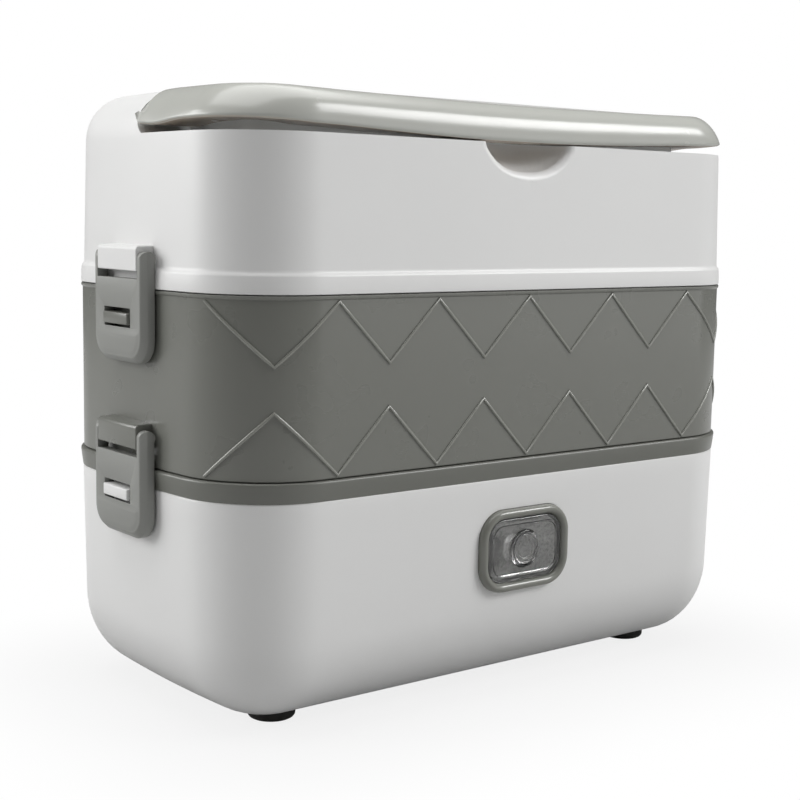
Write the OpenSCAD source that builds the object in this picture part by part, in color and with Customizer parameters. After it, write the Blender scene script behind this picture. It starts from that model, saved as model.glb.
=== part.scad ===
// Electric lunch box: heated base, middle tier, lid with a folding carry handle, four side latches.
// Millimetres, +Z up, the feet stand on z = 0, the front with the power button faces -Y.

/* [Case] */
// Width between the ends of the flat front, before the side walls bow out
case_w = 230; // [224:1:236]
// Depth at the seam between tier and lid
case_d = 124; // [120:1:128]
// Plan radius of the case corners
corner_r = 29.2; // [26:0.2:32]
// How far each side wall bows out at its middle
side_bow = 4.5; // [3.5:0.5:5]
// Wall of the moulded shells
wall = 2.6; // [2.2:0.1:3]

/* [Heights] */
// Height of the rubber feet below the base
foot_h = 3.6; // [3:0.2:5]
// Height of the base's outer shell above the feet
base_h = 74; // [72:0.5:78]
// Height of the grey collar above the base shell
collar_h = 6.5; // [6:0.1:7]
// Height of the middle tier
tier_h = 57.4; // [56:0.1:60]
// Height of the lid's front wall
lid_front_h = 49.4; // [48:0.1:52]
// Height of the lid's rear half above its front rim
lid_step = 14.6; // [14:0.1:16]
// Gap between pieces that move apart
gap = 0.3; // [0.25:0.05:0.4]

/* [Case form] */
// Horizontal radius of the rounding under the base
fillet_w = 26; // [24:0.5:27]
// Vertical radius of the rounding under the base
fillet_h = 28.8; // [26:0.2:30]
// Radius of the rounding at the lid's rear top edge
lid_round = 16; // [12:0.5:17]
// Height of the zigzag ribs above the tier's face
rib_h = 0.6; // [0.4:0.1:0.8]
// Width of the zigzag ribs
rib_w = 1.1; // [0.9:0.1:1.6]

/* [Handle] */
// Depth of the handle bar, from its outer face inwards
bar_d = 17; // [15:0.5:18]
// Radius of the handle's pivot pins
pivot_r = 2.5; // [2:0.1:3]
// Distance of the handle's pivot in front of the case's middle
pivot_y = 8.2; // [8:0.1:9]

/* [Latches] */
// Width of a latch
latch_w = 34; // [32:0.5:36]
// Length of a latch below its pivot
latch_l = 33.4; // [31:0.2:34]
// Thickness of a latch
latch_t = 3.4; // [3:0.1:3.8]
// Radius of the latch pins
pin_r = 1; // [0.8:0.1:1.2]
// Width of the catch window
window_w = 17.6; // [16:0.2:19]

/* [Button and inlet] */
// Width of the button's surround, and of the inlet's
bezel_w = 40.7; // [39:0.1:43]
// Height of both surrounds
bezel_h = 28.9; // [28:0.1:32]
// Height of the button's middle above the floor
bezel_z = 52.2; // [51:0.2:54]
// Travel of the power button
button_travel = 1.5; // [1:0.1:1.8]

/* [Trays] */
// Width of one steel tray over its rim
tray_w = 98; // [94:1:100]
// Depth of one steel tray over its rim
tray_d = 96; // [92:1:98]
// Height of one steel tray with its lid
tray_h = 50; // [46:0.5:51]
// Wall of the steel trays
steel_t = 0.8; // [0.6:0.1:1]

/* [Hidden] */
$fn = 48;
e = 0.01;

base_z = foot_h;
base_top = base_z + base_h;
collar_top = base_top + collar_h;
tier_bot = collar_top + gap;
tier_top = collar_top + tier_h;
lid_bot = tier_top + gap;
lid_rim = tier_top + lid_front_h;
lid_top = lid_rim + lid_step;
hd0 = case_d / 2;
hw0 = case_w / 2;
side_x = hw0 + side_bow;

// Plan outline of the case, offset outwards by o
nc = 6;
ns = 3;
function bow(x, y) = side_bow * max(0, 1 - pow(y / hd0, 2)) * x / hw0;
function arc_pt(o, t) = let(r = max(corner_r + o, 1.5),
  x = hw0 + o - r + r * cos(t), y = hd0 + o - r + r * sin(t)) [x + bow(x, y), y];
function side_pt(o, k) = let(r = max(corner_r + o, 1.5),
  x = hw0 + o, y = (hd0 + o - r) * k) [x + bow(x, y), y];
function quarter(o) = concat([for (i = [0:ns - 1]) side_pt(o, i / ns)],
  [for (i = [0:nc]) arc_pt(o, 90 * i / nc)]);
function ring(o) = let(q = quarter(o), n = len(q) - 1) concat(q,
  [for (i = [n:-1:0]) [-q[i][0], q[i][1]]],
  [for (i = [1:n]) [-q[i][0], -q[i][1]]],
  [for (i = [n:-1:1]) [q[i][0], -q[i][1]]]);

// Plain rounded rectangle, n points a corner
function rrect(w, h, r, n = 4) = [for (c = [[1, 1, 0], [-1, 1, 90], [-1, -1, 180], [1, -1, 270]])
  for (i = [0:n]) let(t = c[2] + 90 * i / n)
  [c[0] * (w / 2 - r) + r * cos(t), c[1] * (h / 2 - r) + r * sin(t)]];

// Solid through a list of plan loops with the same number of points, each [z, loop]
module skin(s) {
  n = len(s[0][1]);
  m = len(s);
  polyhedron(points = [for (l = s) for (p = l[1]) [p[0], p[1], l[0]]],
    faces = concat([[for (i = [0:n - 1]) i]],
      [for (j = [0:m - 2]) for (i = [0:n - 1]) let(a = j * n + i, b = j * n + (i + 1) % n) [a, a + n, b]],
      [for (j = [0:m - 2]) for (i = [0:n - 1]) let(b = j * n + (i + 1) % n, a = j * n + i) [b, a + n, b + n]],
      [[for (i = [n - 1:-1:0]) (m - 1) * n + i]]), convexity = 6);
}
// Case shaped solid through levels [z, offset]
module loft(levels) {
  skin([for (l = levels) [l[0], ring(l[1])]]);
}
module box(x0, x1, y0, y1, z0, z1) {
  translate([x0, y0, z0]) cube([x1 - x0, y1 - y0, z1 - z0]);
}
module rod_x(x0, x1, r, y = 0, z = 0) {
  translate([x0, y, z]) rotate([0, 90, 0]) cylinder(h = x1 - x0, r = r);
}
module rod_y(y0, y1, r, x = 0, z = 0) {
  translate([x, y1, z]) rotate([90, 0, 0]) cylinder(h = y1 - y0, r = r);
}
module rod_z(z0, z1, r, x = 0, y = 0) {
  translate([x, y, z0]) cylinder(h = z1 - z0, r = r);
}
// Rounded slab facing Y, centred on x, z
module slab_y(w, h, r, y0, y1, z = 0) {
  box(-w / 2 + r, w / 2 - r, y0, y1, z - h / 2, z + h / 2);
  box(-w / 2, w / 2, y0, y1, z - h / 2 + r, z + h / 2 - r);
  for (i = [-1, 1], j = [-1, 1]) rod_y(y0, y1, r, i * (w / 2 - r), z + j * (h / 2 - r));
}
module slab_z(w, d, r, z0, z1) {
  box(-w / 2 + r, w / 2 - r, -d / 2, d / 2, z0, z1);
  box(-w / 2, w / 2, -d / 2 + r, d / 2 - r, z0, z1);
  for (i = [-1, 1], j = [-1, 1]) rod_z(z0, z1, r, i * (w / 2 - r), j * (d / 2 - r));
}
module at4(x, y) {
  for (i = [-1, 1], j = [-1, 1]) translate([i * x, j * y, 0]) children();
}
// Soft wire through points p, six sided
function dir(v) = v / norm(v);
module wire(p, r) {
  n = len(p);
  t = [for (i = [0:n - 1]) i == 0 ? dir(p[1] - p[0]) : i == n - 1 ? dir(p[n - 1] - p[n - 2])
    : dir(dir(p[i] - p[i - 1]) + dir(p[i + 1] - p[i]))];
  pts = [for (i = [0:n - 1]) let(u = dir(cross(t[i], [0.35, 0.2, 0.9])), v = cross(t[i], u))
    for (j = [0:5]) p[i] + r * (cos(60 * j) * u + sin(60 * j) * v)];
  polyhedron(points = pts, faces = concat([[for (j = [5:-1:0]) j]],
    [for (i = [0:n - 2]) for (j = [0:5]) let(a = i * 6 + j, b = i * 6 + (j + 1) % 6) [b, a + 6, a]],
    [for (i = [0:n - 2]) for (j = [0:5]) let(a = i * 6 + j, b = i * 6 + (j + 1) % 6) [b + 6, a + 6, b]],
    [[for (j = [0:5]) (n - 1) * 6 + j]]), convexity = 6);
}

// Base
base_off = -1.1;
base_off_top = -0.3;
floor_t = 4.6;
cover_w = 148;
cover_d = 54;
cover_t = 2;
feet_x = 84;
feet_y = 31;
foot_r = 8;
foot_in = 2;
boss_x = 64;
boss_y = 21;
deck_sx = 95;
deck_sy = 24;
post_z = 24;
front_y = hd0 + base_off + 0.1;
function base_levels(t, zb) = concat(
  [for (a = [90:-18:0]) [base_z + zb + (fillet_h - zb) * (1 - sin(a)),
    base_off - t - (fillet_w - t) * (1 - cos(a))]],
  [[t > 0 ? base_top + 1 : base_top, base_off_top - t]]);

module base_shell() {
  color("#e9e9e8") difference() {
    union() {
      difference() {
        loft(base_levels(0, 0));
        loft(base_levels(wall, floor_t));
      }
      at4(boss_x, boss_y) rod_z(base_z + cover_t + 1, base_z + 14, 3.4);
      at4(deck_sx, deck_sy) rod_z(base_z + 3.5, post_z, 4.6);
      for (s = [-1, 1]) scale([s, 1, 1]) catch_tab(side_x + base_off_top, lower_pivot_z, latch_x + low_dx);
    }
    translate([0, 0, base_z - 1]) slab_z(cover_w + 0.4, cover_d + 0.4, 6.2, 0, 1 + cover_t + 0.1);
    slab_z(cover_w - 12, 26, 3, base_z, base_z + floor_t + 1);
    slab_z(90, cover_d - 6, 3, base_z, base_z + floor_t + 1);
    at4(boss_x, boss_y) rod_z(base_z, base_z + 11, 1.25);
    at4(deck_sx, deck_sy) rod_z(base_z - 1, post_z - 4, 3.1);
    at4(deck_sx, deck_sy) rod_z(post_z - 5, post_z + 1, 1.6);
    at4(feet_x, feet_y) rod_z(0, base_z + foot_in, foot_r);
    for (s = [-1, 1]) scale([1, s, 1]) {
      slab_y(bezel_w + 0.4, bezel_h + 0.4, 10.3, -hd0 - 3, -front_y, bezel_z);
      slab_y(bezel_w - 4, bezel_h - 4, 8.1, -hd0 - 3, -front_y + 8, bezel_z);
    }
  }
}

module bottom_cover() {
  color("#dcdcda") difference() {
    slab_z(cover_w, cover_d, 6, base_z, base_z + cover_t);
    at4(boss_x, boss_y) rod_z(base_z - 1, base_z + cover_t + 1, 1.7);
    at4(boss_x, boss_y) rod_z(base_z - 1, base_z + 1, 3.1);
    for (i = [-3:3]) box(i * 9 - 1.6, i * 9 + 1.6, -12, 12, base_z - 1, base_z + cover_t + 1);
  }
}
module screw_up(z0, l) {
  difference() {
    union() {
      rod_z(z0, z0 + 1, 2.9);
      rod_z(z0 + 1 - e, z0 + l, 1.25);
    }
    box(-1.9, 1.9, -0.35, 0.35, z0 - 1, z0 + 0.5);
    box(-0.35, 0.35, -1.9, 1.9, z0 - 1, z0 + 0.5);
  }
}
module cover_screws() {
  color("#8f9396") at4(boss_x, boss_y) screw_up(base_z, 10);
}
module feet() {
  color("#3a3a38") at4(feet_x, feet_y) {
    cylinder(h = 0.9, r1 = foot_r - 0.9, r2 = foot_r);
    rod_z(0.9 - e, base_z + foot_in, foot_r);
  }
}

// Collar and well of the base
lip_o = -6.2;
well_o = -7.6;
well_in = -10;
plate_z = collar_top - 15.1;
well_z = plate_z - 2.4;
module base_deck() {
  color("#8d8f88") difference() {
    union() {
      loft([[base_top, base_off_top + 0.1], [collar_top - 0.9, 0.5], [collar_top - 0.3, 0.4], [collar_top, 0]]);
      loft([[base_top - 5, base_off_top - wall - 0.25], [base_top + e, base_off_top - wall - 0.25]]);
      loft([[well_z, well_o], [collar_top + 3.6, lip_o]]);
      at4(deck_sx, deck_sy) rod_z(post_z, well_z + 1, 3.4);
    }
    difference() {
      loft([[base_top - 6, -5.4], [collar_top - 2.4, -5.4]]);
      loft([[well_z, well_o], [collar_top + 3.6, lip_o]]);
    }
    loft([[plate_z, well_in], [collar_top + 4, lip_o - 2.2]]);
    slab_z(172, 68, 8, well_z - 1, plate_z + 1);
    at4(deck_sx, deck_sy) rod_z(post_z - 1, post_z + 12, 1.25);
  }
}
module deck_screws() {
  color("#8f9396") at4(deck_sx, deck_sy) difference() {
    union() {
      rod_z(post_z - 6.2, post_z - 4, 2.9);
      rod_z(post_z - 4 - e, post_z + 11, 1.25);
    }
    box(-1.9, 1.9, -0.35, 0.35, post_z - 7, post_z - 5.5);
    box(-0.35, 0.35, -1.9, 1.9, post_z - 7, post_z - 5.5);
  }
}

// Heating plate with its heater
heat_x = 42;
plate_w = case_w - 32;
plate_d = case_d - 32;
module heating_plate() {
  color("#c9cbcc") {
    difference() {
      skin([[plate_z, rrect(plate_w - 2, plate_d - 2, 15)], [plate_z + 3.2, rrect(plate_w, plate_d, 16)]]);
      skin([[plate_z + 1, rrect(plate_w - 4, plate_d - 4, 14)], [plate_z + 4, rrect(plate_w - 2, plate_d - 2, 15)]]);
    }
    for (s = [-1, 1]) rod_z(plate_z - 12.5, plate_z + e, 2, s * heat_x);
  }
}
module heater_block() {
  color("#b9bcbe") difference() {
    box(-32, 32, -18, 18, plate_z - 8.5, plate_z);
    for (i = [-2:2]) box(-33, 33, i * 7 - 1.1, i * 7 + 1.1, plate_z - 9, plate_z - 6);
  }
}
module heater_clamp() {
  color("#9a9da0") difference() {
    union() {
      box(-49, 49, -8, 8, plate_z - 10.1, plate_z - 8.5);
      for (s = [-1, 1]) box(s * 49 - 0.8, s * 49 + 0.8, -8, 8, plate_z - 10.1, plate_z - 4);
    }
    for (s = [-1, 1]) rod_z(plate_z - 11, plate_z - 8, 2.2, s * heat_x);
  }
}
module clamp_nuts() {
  color("#85898c") for (s = [-1, 1]) translate([s * heat_x, 0, plate_z - 12.3]) difference() {
    cylinder(h = 2.2, r = 4, $fn = 6);
    translate([0, 0, -1]) cylinder(h = 5, r = 2);
  }
}
module thermostat() {
  color("#2f3133") translate([-66, 0, 0]) {
    rod_z(plate_z - 11, plate_z - 2.6, 8);
    rod_z(plate_z - 2.6 - e, plate_z, 6.6);
    for (s = [-1, 1]) box(-1.6, 1.6, s * 4 - 0.4, s * 4 + 0.4, plate_z - 17, plate_z - 11 + e);
  }
}
module thermal_fuse() {
  color("#c8c3b4") {
    rod_x(60, 72, 1.9, 0, plate_z - 2.4);
    rod_x(54, 78, 0.5, 0, plate_z - 2.4);
  }
}
module fuse_sleeve() {
  color("#e6dfcf") difference() {
    rod_x(58, 74, 2.4, 0, plate_z - 2.4);
    rod_x(57, 75, 1.9, 0, plate_z - 2.4);
  }
}

// Power inlet at the back
module inlet_frame() {
  color("#8d8f88") difference() {
    union() {
      slab_y(bezel_w, bezel_h, 10.1, front_y, front_y + 2.1, bezel_z);
      slab_y(bezel_w - 2, bezel_h - 2, 9.1, front_y + 2, front_y + 2.8, bezel_z);
      slab_y(bezel_w - 4.4, bezel_h - 4.4, 7.9, front_y - 6, front_y + e, bezel_z);
    }
    slab_y(28, 18, 5, front_y - 7, front_y + 4, bezel_z);
    for (s = [-1, 1]) rod_y(front_y - 7, front_y + 4, 1.3, s * 16.6, bezel_z);
    for (s = [-1, 1]) rod_y(front_y + 1.6, front_y + 4, 2.5, s * 16.6, bezel_z);
  }
}
module inlet_screws() {
  color("#8f9396") for (s = [-1, 1]) difference() {
    union() {
      rod_y(front_y + 1.6, front_y + 2.7, 2.4, s * 16.6, bezel_z);
      rod_y(front_y - 9, front_y + 1.6 + e, 1.2, s * 16.6, bezel_z);
    }
    box(s * 16.6 - 1.6, s * 16.6 + 1.6, front_y + 2.2, front_y + 4, bezel_z - 0.3, bezel_z + 0.3);
    box(s * 16.6 - 0.3, s * 16.6 + 0.3, front_y + 2.2, front_y + 4, bezel_z - 1.6, bezel_z + 1.6);
  }
}
module power_inlet() {
  color("#26282a") difference() {
    union() {
      slab_y(27.6, 17.6, 4.8, front_y - 20, front_y + 1.8, bezel_z);
      slab_y(38, 17.6, 4, front_y - 10, front_y - 6, bezel_z);
    }
    slab_y(22.4, 11.6, 3.4, front_y - 14, front_y + 4, bezel_z);
    for (s = [-1, 1]) rod_y(front_y - 22, front_y - 13, 1.2, s * 4.6, bezel_z);
    for (s = [-1, 1]) rod_y(front_y - 11, front_y - 5, 1.2, s * 16.6, bezel_z);
  }
}
module inlet_pins() {
  color("#c9a550") for (s = [-1, 1]) {
    rod_y(front_y - 24, front_y - 4, 1.2, s * 4.6, bezel_z);
  }
}
low_wire = bezel_z - 7;
switch_y = -front_y + 25;
tab_z = plate_z - 17;
module wiring_live() {
  color("#7a4a2a") wire([[4.6, front_y - 24, bezel_z], [5, front_y - 31, low_wire], [14, 8, low_wire - 8],
    [14, switch_y + 16, low_wire - 8], [7, switch_y + 6, bezel_z - 4], [7, switch_y, bezel_z - 4]], 0.9);
}
module wiring_neutral() {
  color("#3d5c86") wire([[-4.6, front_y - 24, bezel_z], [-5, front_y - 31, low_wire], [-30, 16, low_wire - 8],
    [-64, 8, tab_z - 8], [-66, 4, tab_z]], 0.9);
}
module wiring_heater() {
  color("#b8b0a0") wire([[-66, -4, tab_z], [-60, -12, tab_z - 7], [20, -24, tab_z - 6], [36, -26, plate_z - 12],
    [28, -23, plate_z - 4.5], [26, -18, plate_z - 4.5]], 0.9);
  color("#b8b0a0") wire([[78, 0, plate_z - 2.4], [82, -8, plate_z - 10], [60, switch_y + 6, bezel_z - 2],
    [20, switch_y + 3, bezel_z - 9], [-7, switch_y + 5, bezel_z - 7], [-7, switch_y, bezel_z - 4]], 0.9);
  color("#b8b0a0") wire([[54, 0, plate_z - 2.4], [53, 12, plate_z - 7], [44, 14, plate_z - 9], [36, 12, plate_z - 4.5],
    [32, 12, plate_z - 4.5]], 0.9);
}

// Power button on the front
win_w = 34.4;
win_h = 22.6;
module button_surround() {
  color("#8d8f88") difference() {
    union() {
      slab_y(bezel_w, bezel_h, 10.1, -front_y - 1.2, -front_y, bezel_z);
      slab_y(bezel_w - 1, bezel_h - 1, 9.6, -front_y - 2, -front_y - 1, bezel_z);
      slab_y(bezel_w - 2.6, bezel_h - 2.6, 8.8, -front_y - 2.8, -front_y - 1, bezel_z);
      slab_y(bezel_w - 4.4, bezel_h - 4.4, 7.9, -front_y - e, -front_y + 12, bezel_z);
    }
    slab_y(win_w, win_h, 7, -front_y - 4, -front_y + 10, bezel_z);
    rod_y(-front_y + 5, -front_y + 14, 3.4, 0, bezel_z);
    rod_y(-front_y + 5, -front_y + 14, 1.6, 10, bezel_z - 6);
  }
}
module power_button() {
  color("#dfe3e4", 0.45) {
    slab_y(win_w - 2 * gap, win_h - 2 * gap, 7 - gap, -front_y - 1.7, -front_y + 0.5, bezel_z);
    difference() {
      rod_y(-front_y - 2.2, -front_y - 1.6, 6.6, 0, bezel_z);
      rod_y(-front_y - 3, -front_y - 1, 5.7, 0, bezel_z);
    }
    difference() {
      rod_y(-front_y - 2.1, -front_y - 1.6, 3.4, 0, bezel_z);
      rod_y(-front_y - 3, -front_y - 1, 2.6, 0, bezel_z);
      box(-1, 1, -front_y - 3, -front_y - 1, bezel_z, bezel_z + 5);
    }
    box(-0.4, 0.4, -front_y - 2.1, -front_y - 1.6, bezel_z + 0.6, bezel_z + 4);
  }
}
module button_plunger() {
  color("#9c9d98") {
    slab_y(win_w - 3, win_h - 3, 5.5, -front_y + 0.5, -front_y + 1.9, bezel_z);
    rod_y(-front_y + 1.8, -front_y + 12.3, 2.9, 0, bezel_z);
  }
}
spring_r = 4.6;
module button_spring() {
  y0 = -front_y + 1.9;
  l = 8.1;
  turns = 3.5;
  k = 42;
  m = 6;
  wr = 0.4;
  pts = [for (i = [0:k]) let(t = i / k, a = 360 * turns * t, y = y0 + wr + (l - 2 * wr) * t)
    for (j = [0:m - 1]) let(b = 360 * j / m, r = spring_r + wr * cos(b))
    [r * cos(a), y + wr * sin(b), bezel_z + r * sin(a)]];
  color("#a7abad") polyhedron(points = pts, faces = concat([[for (j = [0:m - 1]) j]],
    [for (i = [0:k - 1]) for (j = [0:m - 1]) let(p = i * m + j, q = i * m + (j + 1) % m) [p, p + m, q]],
    [for (i = [0:k - 1]) for (j = [0:m - 1]) let(p = i * m + j, q = i * m + (j + 1) % m) [q, p + m, q + m]],
    [[for (j = [m - 1:-1:0]) k * m + j]]), convexity = 10);
}
module switch_body() {
  color("#26282a") difference() {
    union() {
      slab_y(24, 18, 1.5, -front_y + 12, -front_y + 23, bezel_z);
      for (s = [-1, 1]) box(s * 7 - 1.6, s * 7 + 1.6, -front_y + 22, switch_y, bezel_z - 4.4, bezel_z - 3.6);
    }
    rod_y(-front_y + 11, -front_y + 16, 3.4, 0, bezel_z);
    rod_y(-front_y + 11, -front_y + 15, 1.9, 10, bezel_z - 6);
  }
}
module indicator_lamp() {
  color("#d98a3a") rod_y(-front_y + 6, -front_y + 14.6, 1.5, 10, bezel_z - 6);
}

// Middle tier
tier_o = -0.6;
rail_o = -3.3;
tier_floor = plate_z + 1 + tray_h + 2.2;
tier_lip = -6.3;
per = 39.96;
per_end = 43.1;
flat_w = hw0 - corner_r;
function wrap(s) = abs(s) <= flat_w ? s : let(a = min(89, (abs(s) - flat_w) / corner_r * 180 / PI))
  sign(s) * (flat_w + corner_r * sin(a) + side_bow * 0.35 * pow(a / 90, 2));
function step_s(k) = abs(k) <= 2 ? k * per : sign(k) * (2 * per + (abs(k) - 2) * per_end);
zig_hi = [tier_top - 1.4, tier_top - 21.7];
zig_lo = [tier_top - 57.0, tier_top - 35.7];
module zig_strip(z) {
  for (k = [-6:5]) {
    s0 = step_s(k / 2);
    s1 = step_s((k + 1) / 2);
    z0 = z[abs(k) % 2];
    z1 = z[abs(k + 1) % 2];
    n = abs(k + 0.5) > 3.6 ? 4 : 1;
    for (i = [0:n - 1]) {
      a = [wrap(s0 + (s1 - s0) * i / n), z0 + (z1 - z0) * i / n];
      b = [wrap(s0 + (s1 - s0) * (i + 1) / n), z0 + (z1 - z0) * (i + 1) / n];
      u = (b - a) / norm(b - a);
      v = [-u[1], u[0]] * rib_w / 2;
      w = u * 0.5;
      translate([0, -30, 0]) rotate([90, 0, 0]) linear_extrude(height = hd0)
        polygon([a - w + v, a - w - v, b + w - v, b + w + v]);
    }
  }
}
module tier_ribs() {
  intersection() {
    union() {
      zig_strip(zig_hi);
      zig_strip(zig_lo);
    }
    difference() {
      loft([[tier_bot, tier_o + rib_h], [tier_top - 0.6, tier_o + rib_h]]);
      loft([[tier_bot - 1, tier_o - 0.8], [tier_top, tier_o - 0.8]]);
    }
  }
}
module tier_shell() {
  color("#8b8d86") {
    difference() {
      union() {
        loft([[tier_bot, tier_o], [tier_top - 1, tier_o], [tier_top - 0.7, tier_o + 0.5], [tier_top, tier_o + 0.5]]);
        loft([[tier_top - 6, tier_lip], [tier_top + 4.6, tier_lip]]);
        for (s = [-1, 1]) scale([s, 1, 1]) {
          catch_tab(side_x + tier_o, upper_pivot_z, latch_x);
          lug(side_x + tier_o, lower_pivot_z, latch_x + low_dx);
        }
      }
      loft([[tier_bot - 1, rail_o], [tier_floor, rail_o]]);
      loft([[tier_floor + wall, rail_o], [tier_top - 6.6, rail_o], [tier_top - 2.6, tier_lip - 2.2],
        [tier_top + 5, tier_lip - 2.2]]);
      for (i = [-4:4], j = [-1, 1]) if (abs(i) > 0)
        box(i * 22 - 6, i * 22 + 6, j * 18 - 2, j * 18 + 2, tier_floor - 1, tier_floor + wall + 1);
      for (s = [-1, 1]) latch_bore(s, lower_pivot_z, latch_x + low_dx);
    }
    tier_ribs();
  }
}
module tier_seal() {
  color("#d8d6cf") difference() {
    loft([[tier_bot + 0.1, rail_o], [tier_bot + 3, rail_o]]);
    loft([[tier_bot - 1, lip_o + gap], [tier_bot + 4, lip_o + gap]]);
  }
}

// Latches
upper_pivot_z = tier_top + 9.7;
lower_pivot_z = upper_pivot_z - 56.8;
latch_x = side_x + 2;
low_dx = 0.4;
ear_w = 3.5;
ear_r = 2.4;
lug_w = latch_w - 2 * ear_w - 2 * gap;
module catch_tab(x0, pz, px) {
  translate([0, window_w / 2 - 0.7, 0]) rotate([90, 0, 0]) linear_extrude(height = window_w - 1.4)
    polygon([[x0 - 1.5, pz - 21.1], [px + 3, pz - 21.1], [px + 3.3, pz - 20.8], [px + 3.3, pz - 17.7],
      [px + 3, pz - 17.4], [x0 - 1.5, pz - 17.4]]);
}
module lug(x0, pz, px) {
  translate([0, lug_w / 2, 0]) rotate([90, 0, 0]) linear_extrude(height = lug_w)
    polygon([[x0 - 2, pz - 3.8], [px + 2, pz - 3.8], [px + 2.6, pz - 3.2], [px + 2.6, pz + 3], [px + 1.6, pz + 4.2],
      [x0 - 2, pz + 4.4]]);
}
module latch_bore(s, pz, px) {
  rod_y(-latch_w / 2, latch_w / 2, pin_r + 0.06, s * px, pz);
}
module latch_pin(s, pz, px) {
  rod_y(-latch_w / 2 + 1.4, latch_w / 2 - 1.4, pin_r, s * px, pz);
}
function latch_loop(d) = let(w = latch_w / 2 - d, r = 8 - d, b = -latch_l + d) concat(
  [[-w, 0], [-w, b + r]],
  [for (i = [1:4]) let(t = 180 + 22.5 * i) [-w + r + r * cos(t), b + r + r * sin(t)]],
  [for (i = [0:3]) let(t = 270 + 22.5 * i) [w - r + r * cos(t), b + r + r * sin(t)]],
  [[w, b + r], [w, 0]]);
module latch(pz, px) {
  color("#8b8d88") translate([px, 0, pz]) difference() {
    union() {
      rotate([90, 0, 90]) skin([[ear_r - latch_t, latch_loop(0)], [ear_r - 1.5, latch_loop(0)], [ear_r, latch_loop(1.5)]]);
      rotate([90, 0, 90]) skin([[ear_r - 1, [for (p = latch_loop(2.6)) [p[0], min(p[1], -21.5)]]],
        [ear_r + 0.5, [for (p = latch_loop(3.2)) [p[0], min(p[1], -22.2)]]]]);
      for (s = [-1, 1]) rod_y(s < 0 ? -latch_w / 2 : latch_w / 2 - ear_w, s < 0 ? -latch_w / 2 + ear_w : latch_w / 2, ear_r);
    }
    box(-9, 9, -latch_w / 2 + ear_w, latch_w / 2 - ear_w, -6.3, 9);
    rotate([90, 0, 0]) translate([0, 0, -window_w / 2]) linear_extrude(height = window_w)
      polygon([[-4, -25], [ear_r - latch_t, -24.2], [ear_r, -22], [ear_r + 2, -22], [ear_r + 2, -15.8], [-4, -15.8]]);
    rod_y(-latch_w / 2 + 1.2, latch_w / 2 - 1.2, pin_r + 0.06);
  }
}
module latch_upper_left() {
  scale([-1, 1, 1]) latch(upper_pivot_z, latch_x);
}
module latch_upper_right() {
  latch(upper_pivot_z, latch_x);
}
module latch_lower_left() {
  scale([-1, 1, 1]) latch(lower_pivot_z, latch_x + low_dx);
}
module latch_lower_right() {
  latch(lower_pivot_z, latch_x + low_dx);
}
module lid_latch_pins() {
  color("#a0a3a5") for (s = [-1, 1]) latch_pin(s, upper_pivot_z, latch_x);
}
module tier_latch_pins() {
  color("#a0a3a5") for (s = [-1, 1]) latch_pin(s, lower_pivot_z, latch_x + low_dx);
}

// Lid
lid_o = -1.2;
lid_o_rim = -2.2;
chan = bar_d + 4;
hinge_z = lid_rim + 7.7;
swing_r = 8.8;
function dome(t, z0) = concat([[z0, lid_o - t]],
  [for (a = [0:15:90]) let(r = lid_round - t) [lid_top - t - r * (1 - sin(a)), lid_o_rim - t - r * (1 - cos(a))]]);
module bowl(g) {
  translate([0, -hd0 - 1.5, 0]) rotate_extrude()
    polygon([[0, lid_rim - 10.8 - g], [7 + g / 2, lid_rim - 10.6 - g], [13 + g, lid_rim - 8.6 - g], [18 + g, lid_rim - 4.6 - g / 2],
      [21 + g, lid_rim + 0.01], [21 + g, lid_rim + 1], [0, lid_rim + 1]]);
}
module channel(z0, g) {
  difference() {
    box(-side_x - 5, side_x + 5, -hd0 - 5, -0.2 + g, z0, lid_top + 5);
    loft([[z0 - 1, -chan - g], [lid_top + 6, -chan - g]]);
  }
}
module lid_shell() {
  color("#e9e9e8") difference() {
    union() {
      difference() {
        union() {
          loft([[lid_bot, -0.05], [lid_bot + 5.6, -0.3], [lid_bot + 7, lid_o]]);
          loft(dome(0, lid_bot + 6));
        }
        loft([[lid_bot - 1, lid_o - wall], [lid_bot + 7, lid_o - wall], [lid_rim - wall, lid_o_rim - wall]]);
        difference() {
          loft(dome(wall, lid_bot + 6));
          channel(lid_rim - wall, wall);
        }
      }
      intersection() {
        bowl(2.2);
        loft([[lid_bot + 20, lid_o - 0.5], [lid_rim, lid_o_rim - 0.2]]);
      }
      for (s = [-1, 1]) scale([s, 1, 1]) {
        lug(side_x + lid_o, upper_pivot_z, latch_x);
        rod_x(hw0 - chan - 10, hw0 - chan + 2.5, pivot_r + 2.4, -pivot_y, hinge_z);
      }
    }
    channel(lid_rim, 0);
    bowl(0);
    for (s = [-1, 1]) rod_x(s > 0 ? hw0 - chan + 5 : -side_x - 5, s > 0 ? side_x + 5 : -hw0 + chan - 5, swing_r,
      -pivot_y, hinge_z);
    for (s = [-1, 1]) {
      latch_bore(s, upper_pivot_z, latch_x);
      rod_x(s > 0 ? hw0 - chan - 12 : -side_x, s > 0 ? side_x : -hw0 + chan + 12, pivot_r + 0.06, -pivot_y, hinge_z);
    }
    for (i = [-2:2]) box(i * 8 - 1.5, i * 8 + 1.5, 18, 30, lid_top - wall - 1, lid_top + 1);
  }
}
module lid_seal() {
  color("#d8d6cf") difference() {
    loft([[lid_bot + 0.1, lid_o - wall], [lid_bot + 3, lid_o - wall]]);
    loft([[lid_bot - 1, tier_lip + gap], [lid_bot + 4, tier_lip + gap]]);
  }
}

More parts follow.
